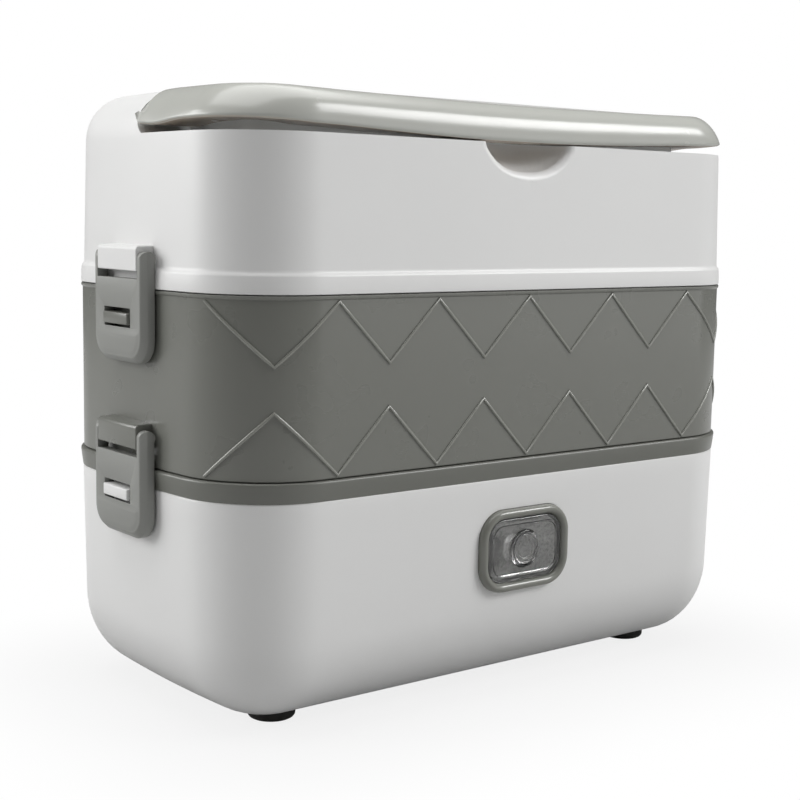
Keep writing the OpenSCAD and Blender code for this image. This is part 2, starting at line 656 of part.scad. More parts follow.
// Handle
bar_lo = lid_rim + 0.4;
bar_hi = lid_top - 0.5;
function sag(x) = let(k = min(1, abs(x) / 66)) 0.5 - 0.5 * cos(180 * k);
hst_side = [[0, 0.14], [0.03, 0.42], [0.07, 0.57], [0.17, 0.71], [0.31, 0.82], [0.51, 0.91], [1, 1]];
function st_side(o, k) = let(r = max(corner_r + o, 1.5), y0 = -0.8, y1 = -(hd0 + o - r), y = y0 + (y1 - y0) * k,
  x = hw0 + o) [x + bow(x, y), y];
function st_arc(o, t) = let(p = arc_pt(o, t)) [p[0], -p[1]];
function st_bar(o, x) = [x, -(hd0 + o)];
function handle_st(o) = concat(
  [for (h = hst_side) let(p = st_side(o, h[0])) [-p[0], p[1]]],
  [for (i = [1:6]) let(p = st_arc(o, 15 * i)) [-p[0], p[1]]],
  [for (i = [-5:5]) st_bar(o, i * flat_w / 6)],
  [for (i = [6:-1:1]) st_arc(o, 15 * i)],
  [for (i = [6:-1:0]) st_side(o, hst_side[i][0])]);
function rise(i) = i < 7 ? hst_side[i][1] : i > 29 ? hst_side[36 - i][1] : 1;
module handle_bar() {
  sec = [[-0.6, 0.1, 0], [-0.2, 0.45, 0], [-1.4, 0.62, 0], [-6.2, 0.92, 1], [-8.6, 1, 1], [-13, 0.97, 1], [-16, 0.8, 1],
    [-bar_d, 0.45, 0], [-bar_d + 0.6, 0.06, 0], [-bar_d + 2, 0, 0], [-2, 0, 0]];
  rows = [for (s = sec) handle_st(lid_o_rim + 0.6 + s[0])];
  n = len(rows[0]);
  m = len(sec);
  pts = [for (i = [0:n - 1]) let(x = rows[0][i][0], lo = bar_lo + 1.9 * sag(x), hi = bar_hi - 1.3 * (1 - sag(x)),
    lo2 = lo + (1 - rise(i)) * 1.6)
    for (j = [0:m - 1]) [rows[j][i][0], rows[j][i][1], lo2 + (hi - lo2) * sec[j][1] * rise(i)]];
  polyhedron(points = pts, faces = concat([[for (j = [0:m - 1]) j]],
    [for (i = [0:n - 2]) for (j = [0:m - 1]) let(p = i * m + j, q = i * m + (j + 1) % m) [p, p + m, q]],
    [for (i = [0:n - 2]) for (j = [0:m - 1]) let(p = i * m + j, q = i * m + (j + 1) % m) [q, p + m, q + m]],
    [[for (j = [m - 1:-1:0]) (n - 1) * m + j]]), convexity = 10);
}
module handle() {
  color("#a3a59f") difference() {
    handle_bar();
    for (s = [-1, 1]) rod_x(s > 0 ? hw0 - chan : -hw0 + 6, s > 0 ? hw0 - 6 : -hw0 + chan, pivot_r, -pivot_y, hinge_z);
  }
}
module handle_pins() {
  color("#a0a3a5") for (s = [-1, 1]) rod_x(s > 0 ? hw0 - chan - 8 : -hw0 + 6, s > 0 ? hw0 - 6 : -hw0 + chan + 8,
    pivot_r, -pivot_y, hinge_z);
}

// Steel trays and their lids
tray_x = tray_w / 2 + 1.4;
lower_z = plate_z + 1;
upper_z = tier_floor + wall;
lid_ch = 6;
module tray(x, z) {
  h = tray_h - lid_ch + 3;
  color("#c4c7c9") translate([x, 0, z]) difference() {
    union() {
      skin([[0, rrect(tray_w - 22, tray_d - 22, 12)], [1.2, rrect(tray_w - 18.6, tray_d - 18.6, 13)],
        [5, rrect(tray_w - 15, tray_d - 15, 15)], [h, rrect(tray_w - 7, tray_d - 7, 17)]]);
      skin([[h - 1, rrect(tray_w - 2, tray_d - 2, 19)], [h, rrect(tray_w - 2, tray_d - 2, 19)]]);
    }
    skin([[steel_t, rrect(tray_w - 22.6, tray_d - 22.6, 11)], [1.8, rrect(tray_w - 20.2, tray_d - 20.2, 12)],
      [5.6, rrect(tray_w - 16.6, tray_d - 16.6, 14)], [h + 1, rrect(tray_w - 8.6, tray_d - 8.6, 16)]]);
  }
}
module tray_lid(x, z) {
  h = tray_h - lid_ch + 3;
  color("#dfe3e2") translate([x, 0, z]) difference() {
    union() {
      skin([[h - 3, rrect(tray_w, tray_d, 20)], [h + 2, rrect(tray_w, tray_d, 20)], [h + 3, rrect(tray_w - 3, tray_d - 3, 18.5)]]);
      box(-9, 9, tray_d / 2 - 2, tray_d / 2 + 2.6, h - 1, h + 0.8);
    }
    skin([[h - 4, rrect(tray_w - 1.4, tray_d - 1.4, 19.3)], [h + 0.9, rrect(tray_w - 1.4, tray_d - 1.4, 19.3)]]);
    skin([[h + 1.8, rrect(tray_w - 22, tray_d - 22, 12)], [h + 4, rrect(tray_w - 20, tray_d - 20, 13)]]);
    rod_z(h, h + 4, 2.6, 0, -tray_d / 4);
  }
}
module lid_seals(z) {
  h = tray_h - lid_ch + 3;
  color("#c9503c") for (s = [-1, 1]) translate([s * tray_x, 0, z]) {
    difference() {
      skin([[h, rrect(tray_w - 2.4, tray_d - 2.4, 18.8)], [h + 0.9, rrect(tray_w - 2.4, tray_d - 2.4, 18.8)]]);
      skin([[h - 1, rrect(tray_w - 9, tray_d - 9, 16)], [h + 2, rrect(tray_w - 9, tray_d - 9, 16)]]);
    }
    rod_z(h + 0.2, h + 2.4, 2.6, 0, -tray_d / 4);
  }
}
module lower_tray_left() {
  tray(-tray_x, lower_z);
}
module lower_tray_right() {
  tray(tray_x, lower_z);
}
module lower_tray_lid_left() {
  tray_lid(-tray_x, lower_z);
}
module lower_tray_lid_right() {
  tray_lid(tray_x, lower_z);
}
module lower_lid_seals() {
  lid_seals(lower_z);
}
module upper_tray_left() {
  tray(-tray_x, upper_z);
}
module upper_tray_right() {
  tray(tray_x, upper_z);
}
module upper_tray_lid_left() {
  tray_lid(-tray_x, upper_z);
}
module upper_tray_lid_right() {
  tray_lid(tray_x, upper_z);
}
module upper_lid_seals() {
  lid_seals(upper_z);
}

base_shell();
base_deck();
deck_screws();
bottom_cover();
cover_screws();
feet();
heating_plate();
heater_block();
heater_clamp();
clamp_nuts();
thermostat();
thermal_fuse();
fuse_sleeve();
power_inlet();
inlet_frame();
inlet_pins();
inlet_screws();
wiring_live();
wiring_neutral();
wiring_heater();
button_surround();
power_button();
button_plunger();
button_spring();
switch_body();
indicator_lamp();
lower_tray_left();
lower_tray_right();
lower_tray_lid_left();
lower_tray_lid_right();
lower_lid_seals();
tier_shell();
tier_seal();
tier_latch_pins();
upper_tray_left();
upper_tray_right();
upper_tray_lid_left();
upper_tray_lid_right();
upper_lid_seals();
lid_shell();
lid_seal();
lid_latch_pins();
handle();
handle_pins();
latch_upper_left();
latch_upper_right();
latch_lower_left();
latch_lower_right();
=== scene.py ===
# %% [markdown]
# # Electric lunch box
# A heated base, a grey middle tier and a white lid, held together by four side latches.
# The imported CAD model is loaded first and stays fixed. Everything made here is in metres,
# in the same frame: +Z up, the front with the button towards -Y, feet on z = 0.

# %% Load the frame
import math
import bmesh
import bpy
import numpy as np
from mathutils import Matrix, Vector


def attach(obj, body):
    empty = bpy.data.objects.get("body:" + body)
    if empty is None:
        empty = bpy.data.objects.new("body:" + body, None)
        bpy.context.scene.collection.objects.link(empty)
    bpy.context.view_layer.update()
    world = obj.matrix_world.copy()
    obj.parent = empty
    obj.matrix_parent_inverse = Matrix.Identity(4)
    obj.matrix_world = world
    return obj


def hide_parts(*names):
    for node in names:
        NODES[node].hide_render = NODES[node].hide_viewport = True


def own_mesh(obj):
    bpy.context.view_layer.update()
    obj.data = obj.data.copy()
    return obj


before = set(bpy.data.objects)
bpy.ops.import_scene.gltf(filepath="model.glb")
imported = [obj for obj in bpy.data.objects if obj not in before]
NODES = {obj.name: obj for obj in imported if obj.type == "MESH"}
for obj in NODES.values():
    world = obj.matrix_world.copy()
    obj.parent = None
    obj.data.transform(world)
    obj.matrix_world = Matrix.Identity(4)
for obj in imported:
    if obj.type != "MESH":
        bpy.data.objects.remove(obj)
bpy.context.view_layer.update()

MM = 0.001

# %% [markdown]
# ## Camera
# The photograph looks up at the box a little: the camera stands low, in front of the left
# corner. Its place, turn and focal length come from the box's own edges, so every piece falls
# where the photograph shows it. A look-at helper would lose the small roll, so the three axes
# of the camera are written straight into its matrix.

# %% Camera
CAMERA_TURN, CAMERA_RISE, CAMERA_ROLL = -38.175, 7.143, 0.962
CAMERA_AT = (-0.34713, -0.43228, 0.16666)
FOCAL_PX, PHOTO_PX, SENSOR_MM = 1483.54, 800.0, 36.0


def make_camera():
    """Stands the camera where the photograph was taken from, and returns its lens in millimetres."""
    turn, rise, roll = map(math.radians, (CAMERA_TURN, CAMERA_RISE, CAMERA_ROLL))
    back = Vector((math.sin(turn) * math.cos(rise), -math.cos(turn) * math.cos(rise), math.sin(rise)))
    right = Vector((math.cos(turn), math.sin(turn), 0.0))
    up = back.cross(right)
    rolled = right * math.cos(roll) + up * math.sin(roll)
    upright = up * math.cos(roll) - right * math.sin(roll)
    data = bpy.data.cameras.new("photo_camera")
    data.sensor_width = SENSOR_MM
    data.lens = FOCAL_PX * SENSOR_MM / PHOTO_PX
    data.clip_start = 0.01
    cam = bpy.data.objects.new("photo_camera", data)
    cam.matrix_world = Matrix((
        (rolled.x, upright.x, back.x, CAMERA_AT[0]),
        (rolled.y, upright.y, back.y, CAMERA_AT[1]),
        (rolled.z, upright.z, back.z, CAMERA_AT[2]),
        (0.0, 0.0, 0.0, 1.0)))
    bpy.context.scene.collection.objects.link(cam)
    bpy.context.scene.camera = cam
    return data.lens


print("lens", round(make_camera(), 2), "mm")

# %% [markdown]
# ## One way to add a node
# Materials and Geometry Nodes are both node trees. One small function adds a node, sets its
# options, and either sets each input or links it. Colours are written as sRGB hex, as they
# are read off a sample card, and one function turns them into the linear values Blender wants.

# %% Node and colour helpers
def add(tree, kind, options=None, inputs=None):
    """Adds a node; each input is a value to set or a socket to link."""
    n = tree.nodes.new(kind)
    for key, value in (options or {}).items():
        setattr(n, key, value)
    for key, value in (inputs or {}).items():
        if isinstance(value, bpy.types.NodeSocket):
            tree.links.new(value, n.inputs[key])
        else:
            n.inputs[key].default_value = value
    return n


def rgb(code):
    """sRGB hex to the linear colour that Blender works in."""
    parts = [int(code[i:i + 2], 16) / 255 for i in (1, 3, 5)]
    return tuple(c / 12.92 if c <= 0.04045 else ((c + 0.055) / 1.055) ** 2.4 for c in parts) + (1.0,)


def shade(code, k):
    """The colour made k times as bright."""
    r = rgb(code)
    return tuple(min(1.0, c * k) for c in r[:3]) + (1.0,)


def empty_material(name):
    m = bpy.data.materials.new(name)
    m.use_nodes = True
    m.node_tree.nodes.clear()
    return m, m.node_tree


def finish_material(tree, shader):
    add(tree, "ShaderNodeOutputMaterial", None, {"Surface": shader.outputs[0]})


print("white", [round(c, 3) for c in rgb("#e8e8e6")[:3]])

# %% [markdown]
# ## Moulded plastics
# The shells are injection moulded polypropylene, the handle is ABS. Both come out of a
# polished steel mould, so the surface is smooth with a very fine orange peel about a
# millimetre across, and the colour drifts by a percent or two over centimetres where the
# melt cooled at different speeds. The latches are moulded in a lightly blasted tool, which
# gives a finer, duller grain. A few faint hairline scuffs break up the highlights, except on
# the polished handle.

# %% Moulded plastic
def moulded(name, code, rough, peel_mm=1.1, peel=0.06, grain_mm=0.0, grain=0.0, drift=0.03, scuffs=0.04,
            coat=0.0, ior=1.49, soft=0.0):
    m, t = empty_material(name)
    place = add(t, "ShaderNodeTexCoord").outputs["Object"]
    slow = add(t, "ShaderNodeTexNoise", None,
               {"Vector": place, "Scale": 1 / (45 * MM), "Detail": 3.0, "Roughness": 0.5})
    tone = add(t, "ShaderNodeValToRGB", None, {"Fac": slow.outputs["Fac"]})
    tone.color_ramp.elements[0].position = 0.3
    tone.color_ramp.elements[0].color = shade(code, 1 - drift)
    tone.color_ramp.elements[1].position = 0.7
    tone.color_ramp.elements[1].color = shade(code, 1 + drift)
    flow = add(t, "ShaderNodeMapping", None,
               {"Vector": place, "Scale": (1.0, 1.0, 7.0), "Rotation": (0.3, 0.2, 0.5)})
    hair = add(t, "ShaderNodeTexNoise", None,
               {"Vector": flow.outputs[0], "Scale": 1 / (2.2 * MM), "Detail": 4.0, "Roughness": 0.7})
    rub = add(t, "ShaderNodeMapRange", None, {"Value": hair.outputs["Fac"], "From Min": 0.55,
                                              "From Max": 0.75, "To Min": 0.0, "To Max": scuffs})
    patch = add(t, "ShaderNodeTexNoise", None, {"Vector": place, "Scale": 1 / (14 * MM), "Detail": 2.0})
    sheen = add(t, "ShaderNodeMapRange", None,
                {"Value": patch.outputs["Fac"], "From Min": 0.3, "From Max": 0.7, "To Min": rough - 0.025,
                 "To Max": rough + 0.025})
    total = add(t, "ShaderNodeMath", {"operation": "ADD"}, {0: sheen.outputs[0], 1: rub.outputs[0]})
    skin_noise = add(t, "ShaderNodeTexNoise", None,
                     {"Vector": place, "Scale": 1 / (peel_mm * MM), "Detail": 1.0})
    relief = add(t, "ShaderNodeBump", None,
                 {"Height": skin_noise.outputs["Fac"], "Strength": peel, "Distance": 0.05 * MM})
    if grain > 0:
        fine = add(t, "ShaderNodeTexNoise", None,
                   {"Vector": place, "Scale": 1 / (grain_mm * MM), "Detail": 2.0, "Roughness": 0.6})
        relief = add(t, "ShaderNodeBump", None, {"Height": fine.outputs["Fac"], "Strength": grain,
                                                 "Distance": 0.06 * MM, "Normal": relief.outputs[0]})
    shader = add(t, "ShaderNodeBsdfPrincipled", None,
                 {"Base Color": tone.outputs["Color"], "Roughness": total.outputs[0],
                  "Normal": relief.outputs[0], "IOR": ior, "Coat Weight": coat, "Coat Roughness": 0.12})
    if soft > 0:
        shader.inputs["Subsurface Weight"].default_value = soft
        shader.inputs["Subsurface Radius"].default_value = (1.2, 1.1, 1.0)
        shader.inputs["Subsurface Scale"].default_value = 1.2 * MM
    finish_material(t, shader)
    return m


# Satin white PP: soft, wide highlights
white_pp = moulded("satin_white_polypropylene", "#e6e6e5", 0.38, drift=0.008)
# Warm grey PP of the tier: a little glossier, so it mirrors the room's light and dark at the corner
tier_pp = moulded("satin_grey_polypropylene", "#757670", 0.29, peel=0.03, drift=0.010, scuffs=0.01, coat=0.2)
collar_pp = moulded("collar_grey_polypropylene", "#70716b", 0.3, drift=0.015, scuffs=0.02)
# Latches: blasted tool, duller
latch_pp = moulded("grained_grey_polypropylene", "#8d8e8a", 0.44, grain_mm=0.35, grain=0.10, drift=0.02)
# Handle: polished ABS, a thin hard gloss over a softer one, with no scuffs
handle_abs = moulded("polished_grey_abs", "#b9bab4", 0.25, peel=0.01, drift=0.008, scuffs=0.0, coat=0.15,
                     ior=1.5)
trim_abs = moulded("surround_grey_abs", "#80817a", 0.2, peel=0.03, drift=0.015, coat=0.15, ior=1.54)
cover_pp = moulded("matt_white_polypropylene", "#dddddb", 0.52, grain_mm=0.5, grain=0.12, drift=0.012)
black_pa = moulded("black_polyamide", "#1d1e20", 0.42, grain_mm=0.4, grain=0.08, drift=0.05)
tray_lid_pp = moulded("milky_polypropylene", "#dfe3e2", 0.34, drift=0.01, soft=0.25)
sleeve_pp = moulded("glass_fibre_sleeve", "#cfc8b6", 0.6, grain_mm=0.6, grain=0.3, drift=0.06)
print("plastics", len(bpy.data.materials))

# %% [markdown]
# ## Metals, rubber and clear plastic
# Stainless steel is brushed along the part, so its highlight stretches across the strokes.
# Silicone and rubber scatter light in a dull, slightly powdery way. The button is clear
# polycarbonate, which bends light and shows what stands behind it.

# %% Brushed and plain metals
def metal(name, code, rough, stroke=(1.0, 12.0, 12.0), stroke_mm=1.6, depth=0.12, anisotropic=0.5):
    m, t = empty_material(name)
    place = add(t, "ShaderNodeTexCoord").outputs["Object"]
    along = add(t, "ShaderNodeMapping", None, {"Vector": place, "Scale": stroke})
    lines = add(t, "ShaderNodeTexNoise", None,
                {"Vector": along.outputs[0], "Scale": 1 / (stroke_mm * 4 * MM), "Detail": 6.0,
                 "Roughness": 0.75})
    tone = add(t, "ShaderNodeValToRGB", None, {"Fac": lines.outputs["Fac"]})
    tone.color_ramp.elements[0].color = shade(code, 0.9)
    tone.color_ramp.elements[1].color = shade(code, 1.06)
    worn = add(t, "ShaderNodeTexNoise", None, {"Vector": place, "Scale": 1 / (9 * MM), "Detail": 3.0})
    sheen = add(t, "ShaderNodeMapRange", None,
                {"Value": worn.outputs["Fac"], "To Min": rough - 0.05, "To Max": rough + 0.06})
    relief = add(t, "ShaderNodeBump", None,
                 {"Height": lines.outputs["Fac"], "Strength": depth, "Distance": 0.04 * MM})
    shader = add(t, "ShaderNodeBsdfPrincipled", None,
                 {"Base Color": tone.outputs["Color"], "Metallic": 1.0, "Roughness": sheen.outputs[0],
                  "Normal": relief.outputs[0], "Anisotropic": anisotropic})
    finish_material(t, shader)
    return m


def dull(name, code, rough, speck_mm=0.7, speck=0.15, sheen=0.0, soft=0.0):
    m, t = empty_material(name)
    place = add(t, "ShaderNodeTexCoord").outputs["Object"]
    cloud = add(t, "ShaderNodeTexNoise", None, {"Vector": place, "Scale": 1 / (6 * MM), "Detail": 4.0})
    tone = add(t, "ShaderNodeValToRGB", None, {"Fac": cloud.outputs["Fac"]})
    tone.color_ramp.elements[0].color = shade(code, 0.93)
    tone.color_ramp.elements[1].color = shade(code, 1.07)
    dust = add(t, "ShaderNodeTexNoise", None, {"Vector": place, "Scale": 1 / (speck_mm * MM), "Detail": 3.0})
    even = add(t, "ShaderNodeMapRange", None,
               {"Value": dust.outputs["Fac"], "To Min": rough - 0.06, "To Max": rough + 0.06})
    relief = add(t, "ShaderNodeBump", None,
                 {"Height": dust.outputs["Fac"], "Strength": speck, "Distance": 0.05 * MM})
    shader = add(t, "ShaderNodeBsdfPrincipled", None,
                 {"Base Color": tone.outputs["Color"], "Roughness": even.outputs[0],
                  "Normal": relief.outputs[0], "Sheen Weight": sheen, "Subsurface Weight": soft,
                  "Subsurface Scale": 1.0 * MM})
    finish_material(t, shader)
    return m


steel = metal("brushed_stainless_steel", "#c9cbcc", 0.28)
strip = metal("zinc_plated_strip", "#a9adaf", 0.36, depth=0.08)
screw_metal = metal("zinc_plated_screw", "#9da1a4", 0.33, stroke=(1, 1, 1), stroke_mm=0.5, depth=0.06,
                    anisotropic=0.0)
alloy = metal("extruded_aluminium", "#c4c6c8", 0.4, stroke=(1.0, 14.0, 14.0))
brass = metal("plated_brass", "#c9a75a", 0.3, stroke=(8.0, 1.0, 8.0), stroke_mm=0.5, depth=0.05,
              anisotropic=0.2)
rubber = dull("moulded_black_rubber", "#30302e", 0.72, sheen=0.15)
silicone = dull("translucent_silicone", "#d9d6cd", 0.5, speck=0.06, soft=0.3)
red_silicone = dull("red_silicone", "#c25543", 0.5, speck=0.06, soft=0.2)
brown_pvc = dull("brown_pvc", "#6b4127", 0.45, speck=0.05)
blue_pvc = dull("blue_pvc", "#33557f", 0.45, speck=0.05)
grey_rubber = dull("silicone_wire_sleeve", "#b5ad9b", 0.55, speck=0.08)
print("materials", len(bpy.data.materials))

# %% Clear button and what stands behind it
def clear_plastic(name, code, rough):
    m, t = empty_material(name)
    place = add(t, "ShaderNodeTexCoord").outputs["Object"]
    ripple = add(t, "ShaderNodeTexNoise", None, {"Vector": place, "Scale": 1 / (2.6 * MM), "Detail": 2.0})
    relief = add(t, "ShaderNodeBump", None,
                 {"Height": ripple.outputs["Fac"], "Strength": 0.10, "Distance": 0.06 * MM})
    patch = add(t, "ShaderNodeTexNoise", None, {"Vector": place, "Scale": 1 / (5 * MM), "Detail": 3.0})
    haze = add(t, "ShaderNodeMapRange", None,
               {"Value": patch.outputs["Fac"], "To Min": rough - 0.03, "To Max": rough + 0.05})
    shader = add(t, "ShaderNodeBsdfPrincipled", None,
                 {"Base Color": rgb(code), "Roughness": haze.outputs[0], "IOR": 1.58,
                  "Transmission Weight": 1.0, "Normal": relief.outputs[0]})
    finish_material(t, shader)
    return m


def mottled(name, dark, light, rough):
    m, t = empty_material(name)
    place = add(t, "ShaderNodeTexCoord").outputs["Object"]
    blots = add(t, "ShaderNodeTexNoise", None,
                {"Vector": place, "Scale": 1 / (1.1 * MM), "Detail": 5.0, "Roughness": 0.7})
    tone = add(t, "ShaderNodeValToRGB", None, {"Fac": blots.outputs["Fac"]})
    tone.color_ramp.elements[0].position = 0.35
    tone.color_ramp.elements[0].color = rgb(dark)
    tone.color_ramp.elements[1].position = 0.68
    tone.color_ramp.elements[1].color = rgb(light)
    relief = add(t, "ShaderNodeBump", None,
                 {"Height": blots.outputs["Fac"], "Strength": 0.35, "Distance": 0.2 * MM})
    even = add(t, "ShaderNodeMapRange", None,
               {"Value": blots.outputs["Fac"], "To Min": rough - 0.08, "To Max": rough + 0.08})
    shader = add(t, "ShaderNodeBsdfPrincipled", None,
                 {"Base Color": tone.outputs["Color"], "Roughness": even.outputs[0],
                  "Normal": relief.outputs[0]})
    finish_material(t, shader)
    return m


clear_pc = clear_plastic("clear_polycarbonate", "#e9e9e8", 0.16)
frosted_grey = mottled("grained_plunger_abs", "#6b6b6a", "#c2c2c0", 0.5)
lamp_glass = clear_plastic("amber_lamp", "#e8a04a", 0.1)
print("clear", clear_pc.name, lamp_glass.name)

# %% [markdown]
# ## The outline that everything follows
# Seen from above, the case is a rounded rectangle with flat front and back, and side walls
# that bow out. The shells, the collar, the tier, the lid and the handle all follow it, a
# little in or out. So one function gives the outline at any offset, and one skins a stack of
# such outlines into a closed shape. A stack that climbs the outer wall, turns over the rim
# and comes down inside is a shell with a real wall.

# %% Sizes shared with the CAD, in millimetres
CASE_W, CASE_D, CORNER, BOW, WALL = 230.0, 124.0, 29.2, 4.5, 2.6
HW, HD = CASE_W / 2, CASE_D / 2
BASE_Z, BASE_TOP, COLLAR_TOP = 3.6, 77.6, 84.1
TIER_BOT, TIER_TOP, LID_BOT = 84.4, 141.5, 141.8
LID_RIM, LID_TOP = 190.9, 205.5
SIDE_X = HW + BOW
FRONT_Y = 61.0
PANEL_Z = 52.2


def bow(x, y):
    return BOW * np.clip(1 - (y / HD) ** 2, 0, 1) * x / HW


def case_loop(o, arc=22, side=14, flat=24):
    """The case's outline seen from above, moved outwards by o."""
    r = max(CORNER + o, 1.5)
    k = np.linspace(0, 1, side, endpoint=False)
    t = np.radians(np.linspace(0, 90, arc, endpoint=False))
    f = np.linspace(1, 0, flat, endpoint=False)
    x = np.concatenate([np.full(side, HW + o), HW + o - r + r * np.cos(t), (HW + o - r) * f])
    y = np.concatenate([(HD + o - r) * k, HD + o - r + r * np.sin(t), np.full(flat, HD + o)])
    q = np.column_stack([x + bow(x, y), y])
    top = np.array([[0.0, HD + o]])
    half = np.vstack([q, top, q[:0:-1] * [-1, 1]])
    return np.vstack([half, -half])


def round_loop(w, h, r, arc=10, side=4):
    """A rectangle w by h with corners of radius r."""
    r = min(r, w / 2 - 0.01, h / 2 - 0.01)
    out = []
    for q in range(4):
        t = np.radians(np.linspace(90 * q, 90 * q + 90, arc + 1))
        cx = (w / 2 - r) * (1 if q in (0, 3) else -1)
        cy = (h / 2 - r) * (1 if q in (0, 1) else -1)
        pts = np.column_stack([cx + r * np.cos(t), cy + r * np.sin(t)])
        nx = (w / 2 - r) * (1 if (q + 1) % 4 in (0, 3) else -1) + r * math.cos(math.radians(90 * q + 90))
        ny = (h / 2 - r) * (1 if (q + 1) % 4 in (0, 1) else -1) + r * math.sin(math.radians(90 * q + 90))
        between = [pts[-1] + (np.array([nx, ny]) - pts[-1]) * i / side for i in range(1, side)]
        out += list(pts) + between
    return np.array(out)


print("outline points", len(case_loop(0)), "widest", round(case_loop(0)[:, 0].max() * 2, 1))

# %% Skin, shell and closing helpers
def skin(levels, closed=False):
    """Vertices and faces of a stack of (z, loop), capped, or joined end to start when closed."""
    n = len(levels[0][1])
    verts = np.vstack([np.column_stack([l, np.full(n, z)]) for z, l in levels])
    faces = []
    rows = len(levels)
    for j in range(rows if closed else rows - 1):
        a, b = j * n, ((j + 1) % rows) * n
        faces += [(a + i, a + (i + 1) % n, b + (i + 1) % n, b + i) for i in range(n)]
    if not closed:
        faces.append(tuple(range(n - 1, -1, -1)))
        faces.append(tuple((rows - 1) * n + i for i in range(n)))
    return verts, faces


def drop_between(faces, a, b, n):
    """Leaves out the faces that join the row of n points from a to the row from b."""
    def joins(q):
        return min(q) >= a and max(q) < b + n and any(k < b for k in q) and any(k >= b for k in q)
    return [q for q in faces if not joins(q)]


def case_skin(levels):
    return skin([(z, case_loop(o)) for z, o in levels])


def to_front(verts, y0=0.0, z0=0.0, flip=1):
    """Turns a part drawn flat, with its thickness along z, to stand in the front or back wall."""
    return np.column_stack([verts[:, 0], y0 - flip * verts[:, 2], z0 + verts[:, 1]])


def mesh_object(name, verts, faces, material, angle=32):
    me = bpy.data.meshes.new(name)
    me.from_pydata((np.asarray(verts) * MM).tolist(), [], [list(f) for f in faces])
    bm = bmesh.new()
    bm.from_mesh(me)
    bmesh.ops.remove_doubles(bm, verts=bm.verts, dist=0.002 * MM)
    bmesh.ops.recalc_face_normals(bm, faces=bm.faces)
    bm.to_mesh(me)
    bm.free()
    me.materials.append(material)
    ob = bpy.data.objects.new(name, me)
    bpy.context.scene.collection.objects.link(ob)
    smooth(ob, angle)
    return ob


def smooth(ob, angle=32):
    ob.data.shade_smooth()
    ob.data.set_sharp_from_angle(angle=math.radians(angle))


def bake(ob, angle=32):
    """Applies every modifier, and leaves a plain mesh with the same name."""
    deps = bpy.context.evaluated_depsgraph_get()
    me = bpy.data.meshes.new_from_object(ob.evaluated_get(deps))
    ob.modifiers.clear()
    old = ob.data
    ob.data = me
    bpy.data.meshes.remove(old)
    me.name = ob.name
    smooth(ob, angle)
    return ob


def cut(ob, tools, operation="DIFFERENCE"):
    """Boolean with each tool in turn; the tools are thrown away."""
    for tool in tools:
        mod = ob.modifiers.new("cut", "BOOLEAN")
        mod.operation = operation
        mod.solver = "EXACT"
        mod.object = tool
    bake(ob)
    for tool in tools:
        me = tool.data
        bpy.data.objects.remove(tool)
        bpy.data.meshes.remove(me)
    return ob


def soften(ob, width, segments=2, angle=32, limit=40):
    """Takes the sharpness off edges, as a mould does, so that they catch the light."""
    mod = ob.modifiers.new("soften", "BEVEL")
    mod.width = width * MM
    mod.segments = segments
    mod.limit_method = "ANGLE"
    mod.angle_limit = math.radians(limit)
    mod.use_clamp_overlap = True
    mod.miter_outer = "MITER_ARC"
    bake(ob, angle)
    return ob


def tool_box(x0, x1, y0, y1, z0, z1):
    v = [(x, y, z) for z in (z0, z1) for x, y in ((x0, y0), (x1, y0), (x1, y1), (x0, y1))]
    f = [(3, 2, 1, 0), (4, 5, 6, 7), (0, 1, 5, 4), (1, 2, 6, 5), (2, 3, 7, 6), (3, 0, 4, 7)]
    return mesh_object("tool", v, f, white_pp)


def tool_rod(axis, a, b, r, p=0.0, q=0.0, sides=48):
    t = np.linspace(0, 2 * np.pi, sides, endpoint=False)
    loop = np.column_stack([r * np.cos(t), r * np.sin(t)])
    v, f = skin([(a, loop), (b, loop)])
    order = {"z": (0, 1, 2), "x": (2, 0, 1), "y": (0, 2, 1)}[axis]
    v = v[:, order]
    shift = {"z": (p, q, 0), "x": (0, p, q), "y": (p, 0, q)}[axis]
    return mesh_object("tool", v + np.array(shift), f, white_pp)


def tool_slab(w, h, r, y0, y1, z=PANEL_Z):
    v, f = skin([(y0, round_loop(w, h, r)), (y1, round_loop(w, h, r))])
    return mesh_object("tool", np.column_stack([v[:, 0], v[:, 2], z + v[:, 1]]), f, white_pp)


def place(ob, body, slot_name, *nodes):
    """Rides on its body and stands for its CAD nodes; slot_name is not used."""
    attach(ob, body)
    if nodes:
        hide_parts(*nodes)
    print(ob.name, len(ob.data.polygons), "faces")
    return ob


# %% [markdown]
# ## Base shell
# The base is a deep white bowl with a large rounding under it, almost a quarter circle, 26 mm
# wide and 29 mm high, and walls that lean in a degree. It could be a cube with bevels, but the
# bowed sides and the lean are simpler to draw as a stack of outlines. Holes for the button,
# the inlet, the cover and the screws are cut with booleans, as the mould's inserts would form
# them.

# %% Base shell
BASE_OFF, BASE_OFF_TOP, FIL_W, FIL_H, FLOOR_T = -1.1, -0.3, 26.0, 28.8, 4.6
COVER_HOLE = (148.4, 54.4, 6.2)
VENTS = ((136, 26), (90, 48))
SURROUND_SEAT, SLEEVE_HOLE = (41.1, 29.3, 10.3), (36.7, 24.9, 8)
FOOT_X, FOOT_Y, FOOT_R = 84, 31, 8.0
COVER_SCREW_X, COVER_SCREW_Y = 64, 21
DECK_SCREW_X, DECK_SCREW_Y = 95, 24
POST_R, PIN_BORE_R = 3.4, 1.06


def base_wall(t, zb, steps=16):
    """The large rounding under the base, at thickness t inside it, from zb above its foot."""
    return [(BASE_Z + zb + (FIL_H - zb) * (1 - math.sin(a)), BASE_OFF - t - (FIL_W - t) * (1 - math.cos(a)))
            for a in np.linspace(math.pi / 2, 0, steps)]


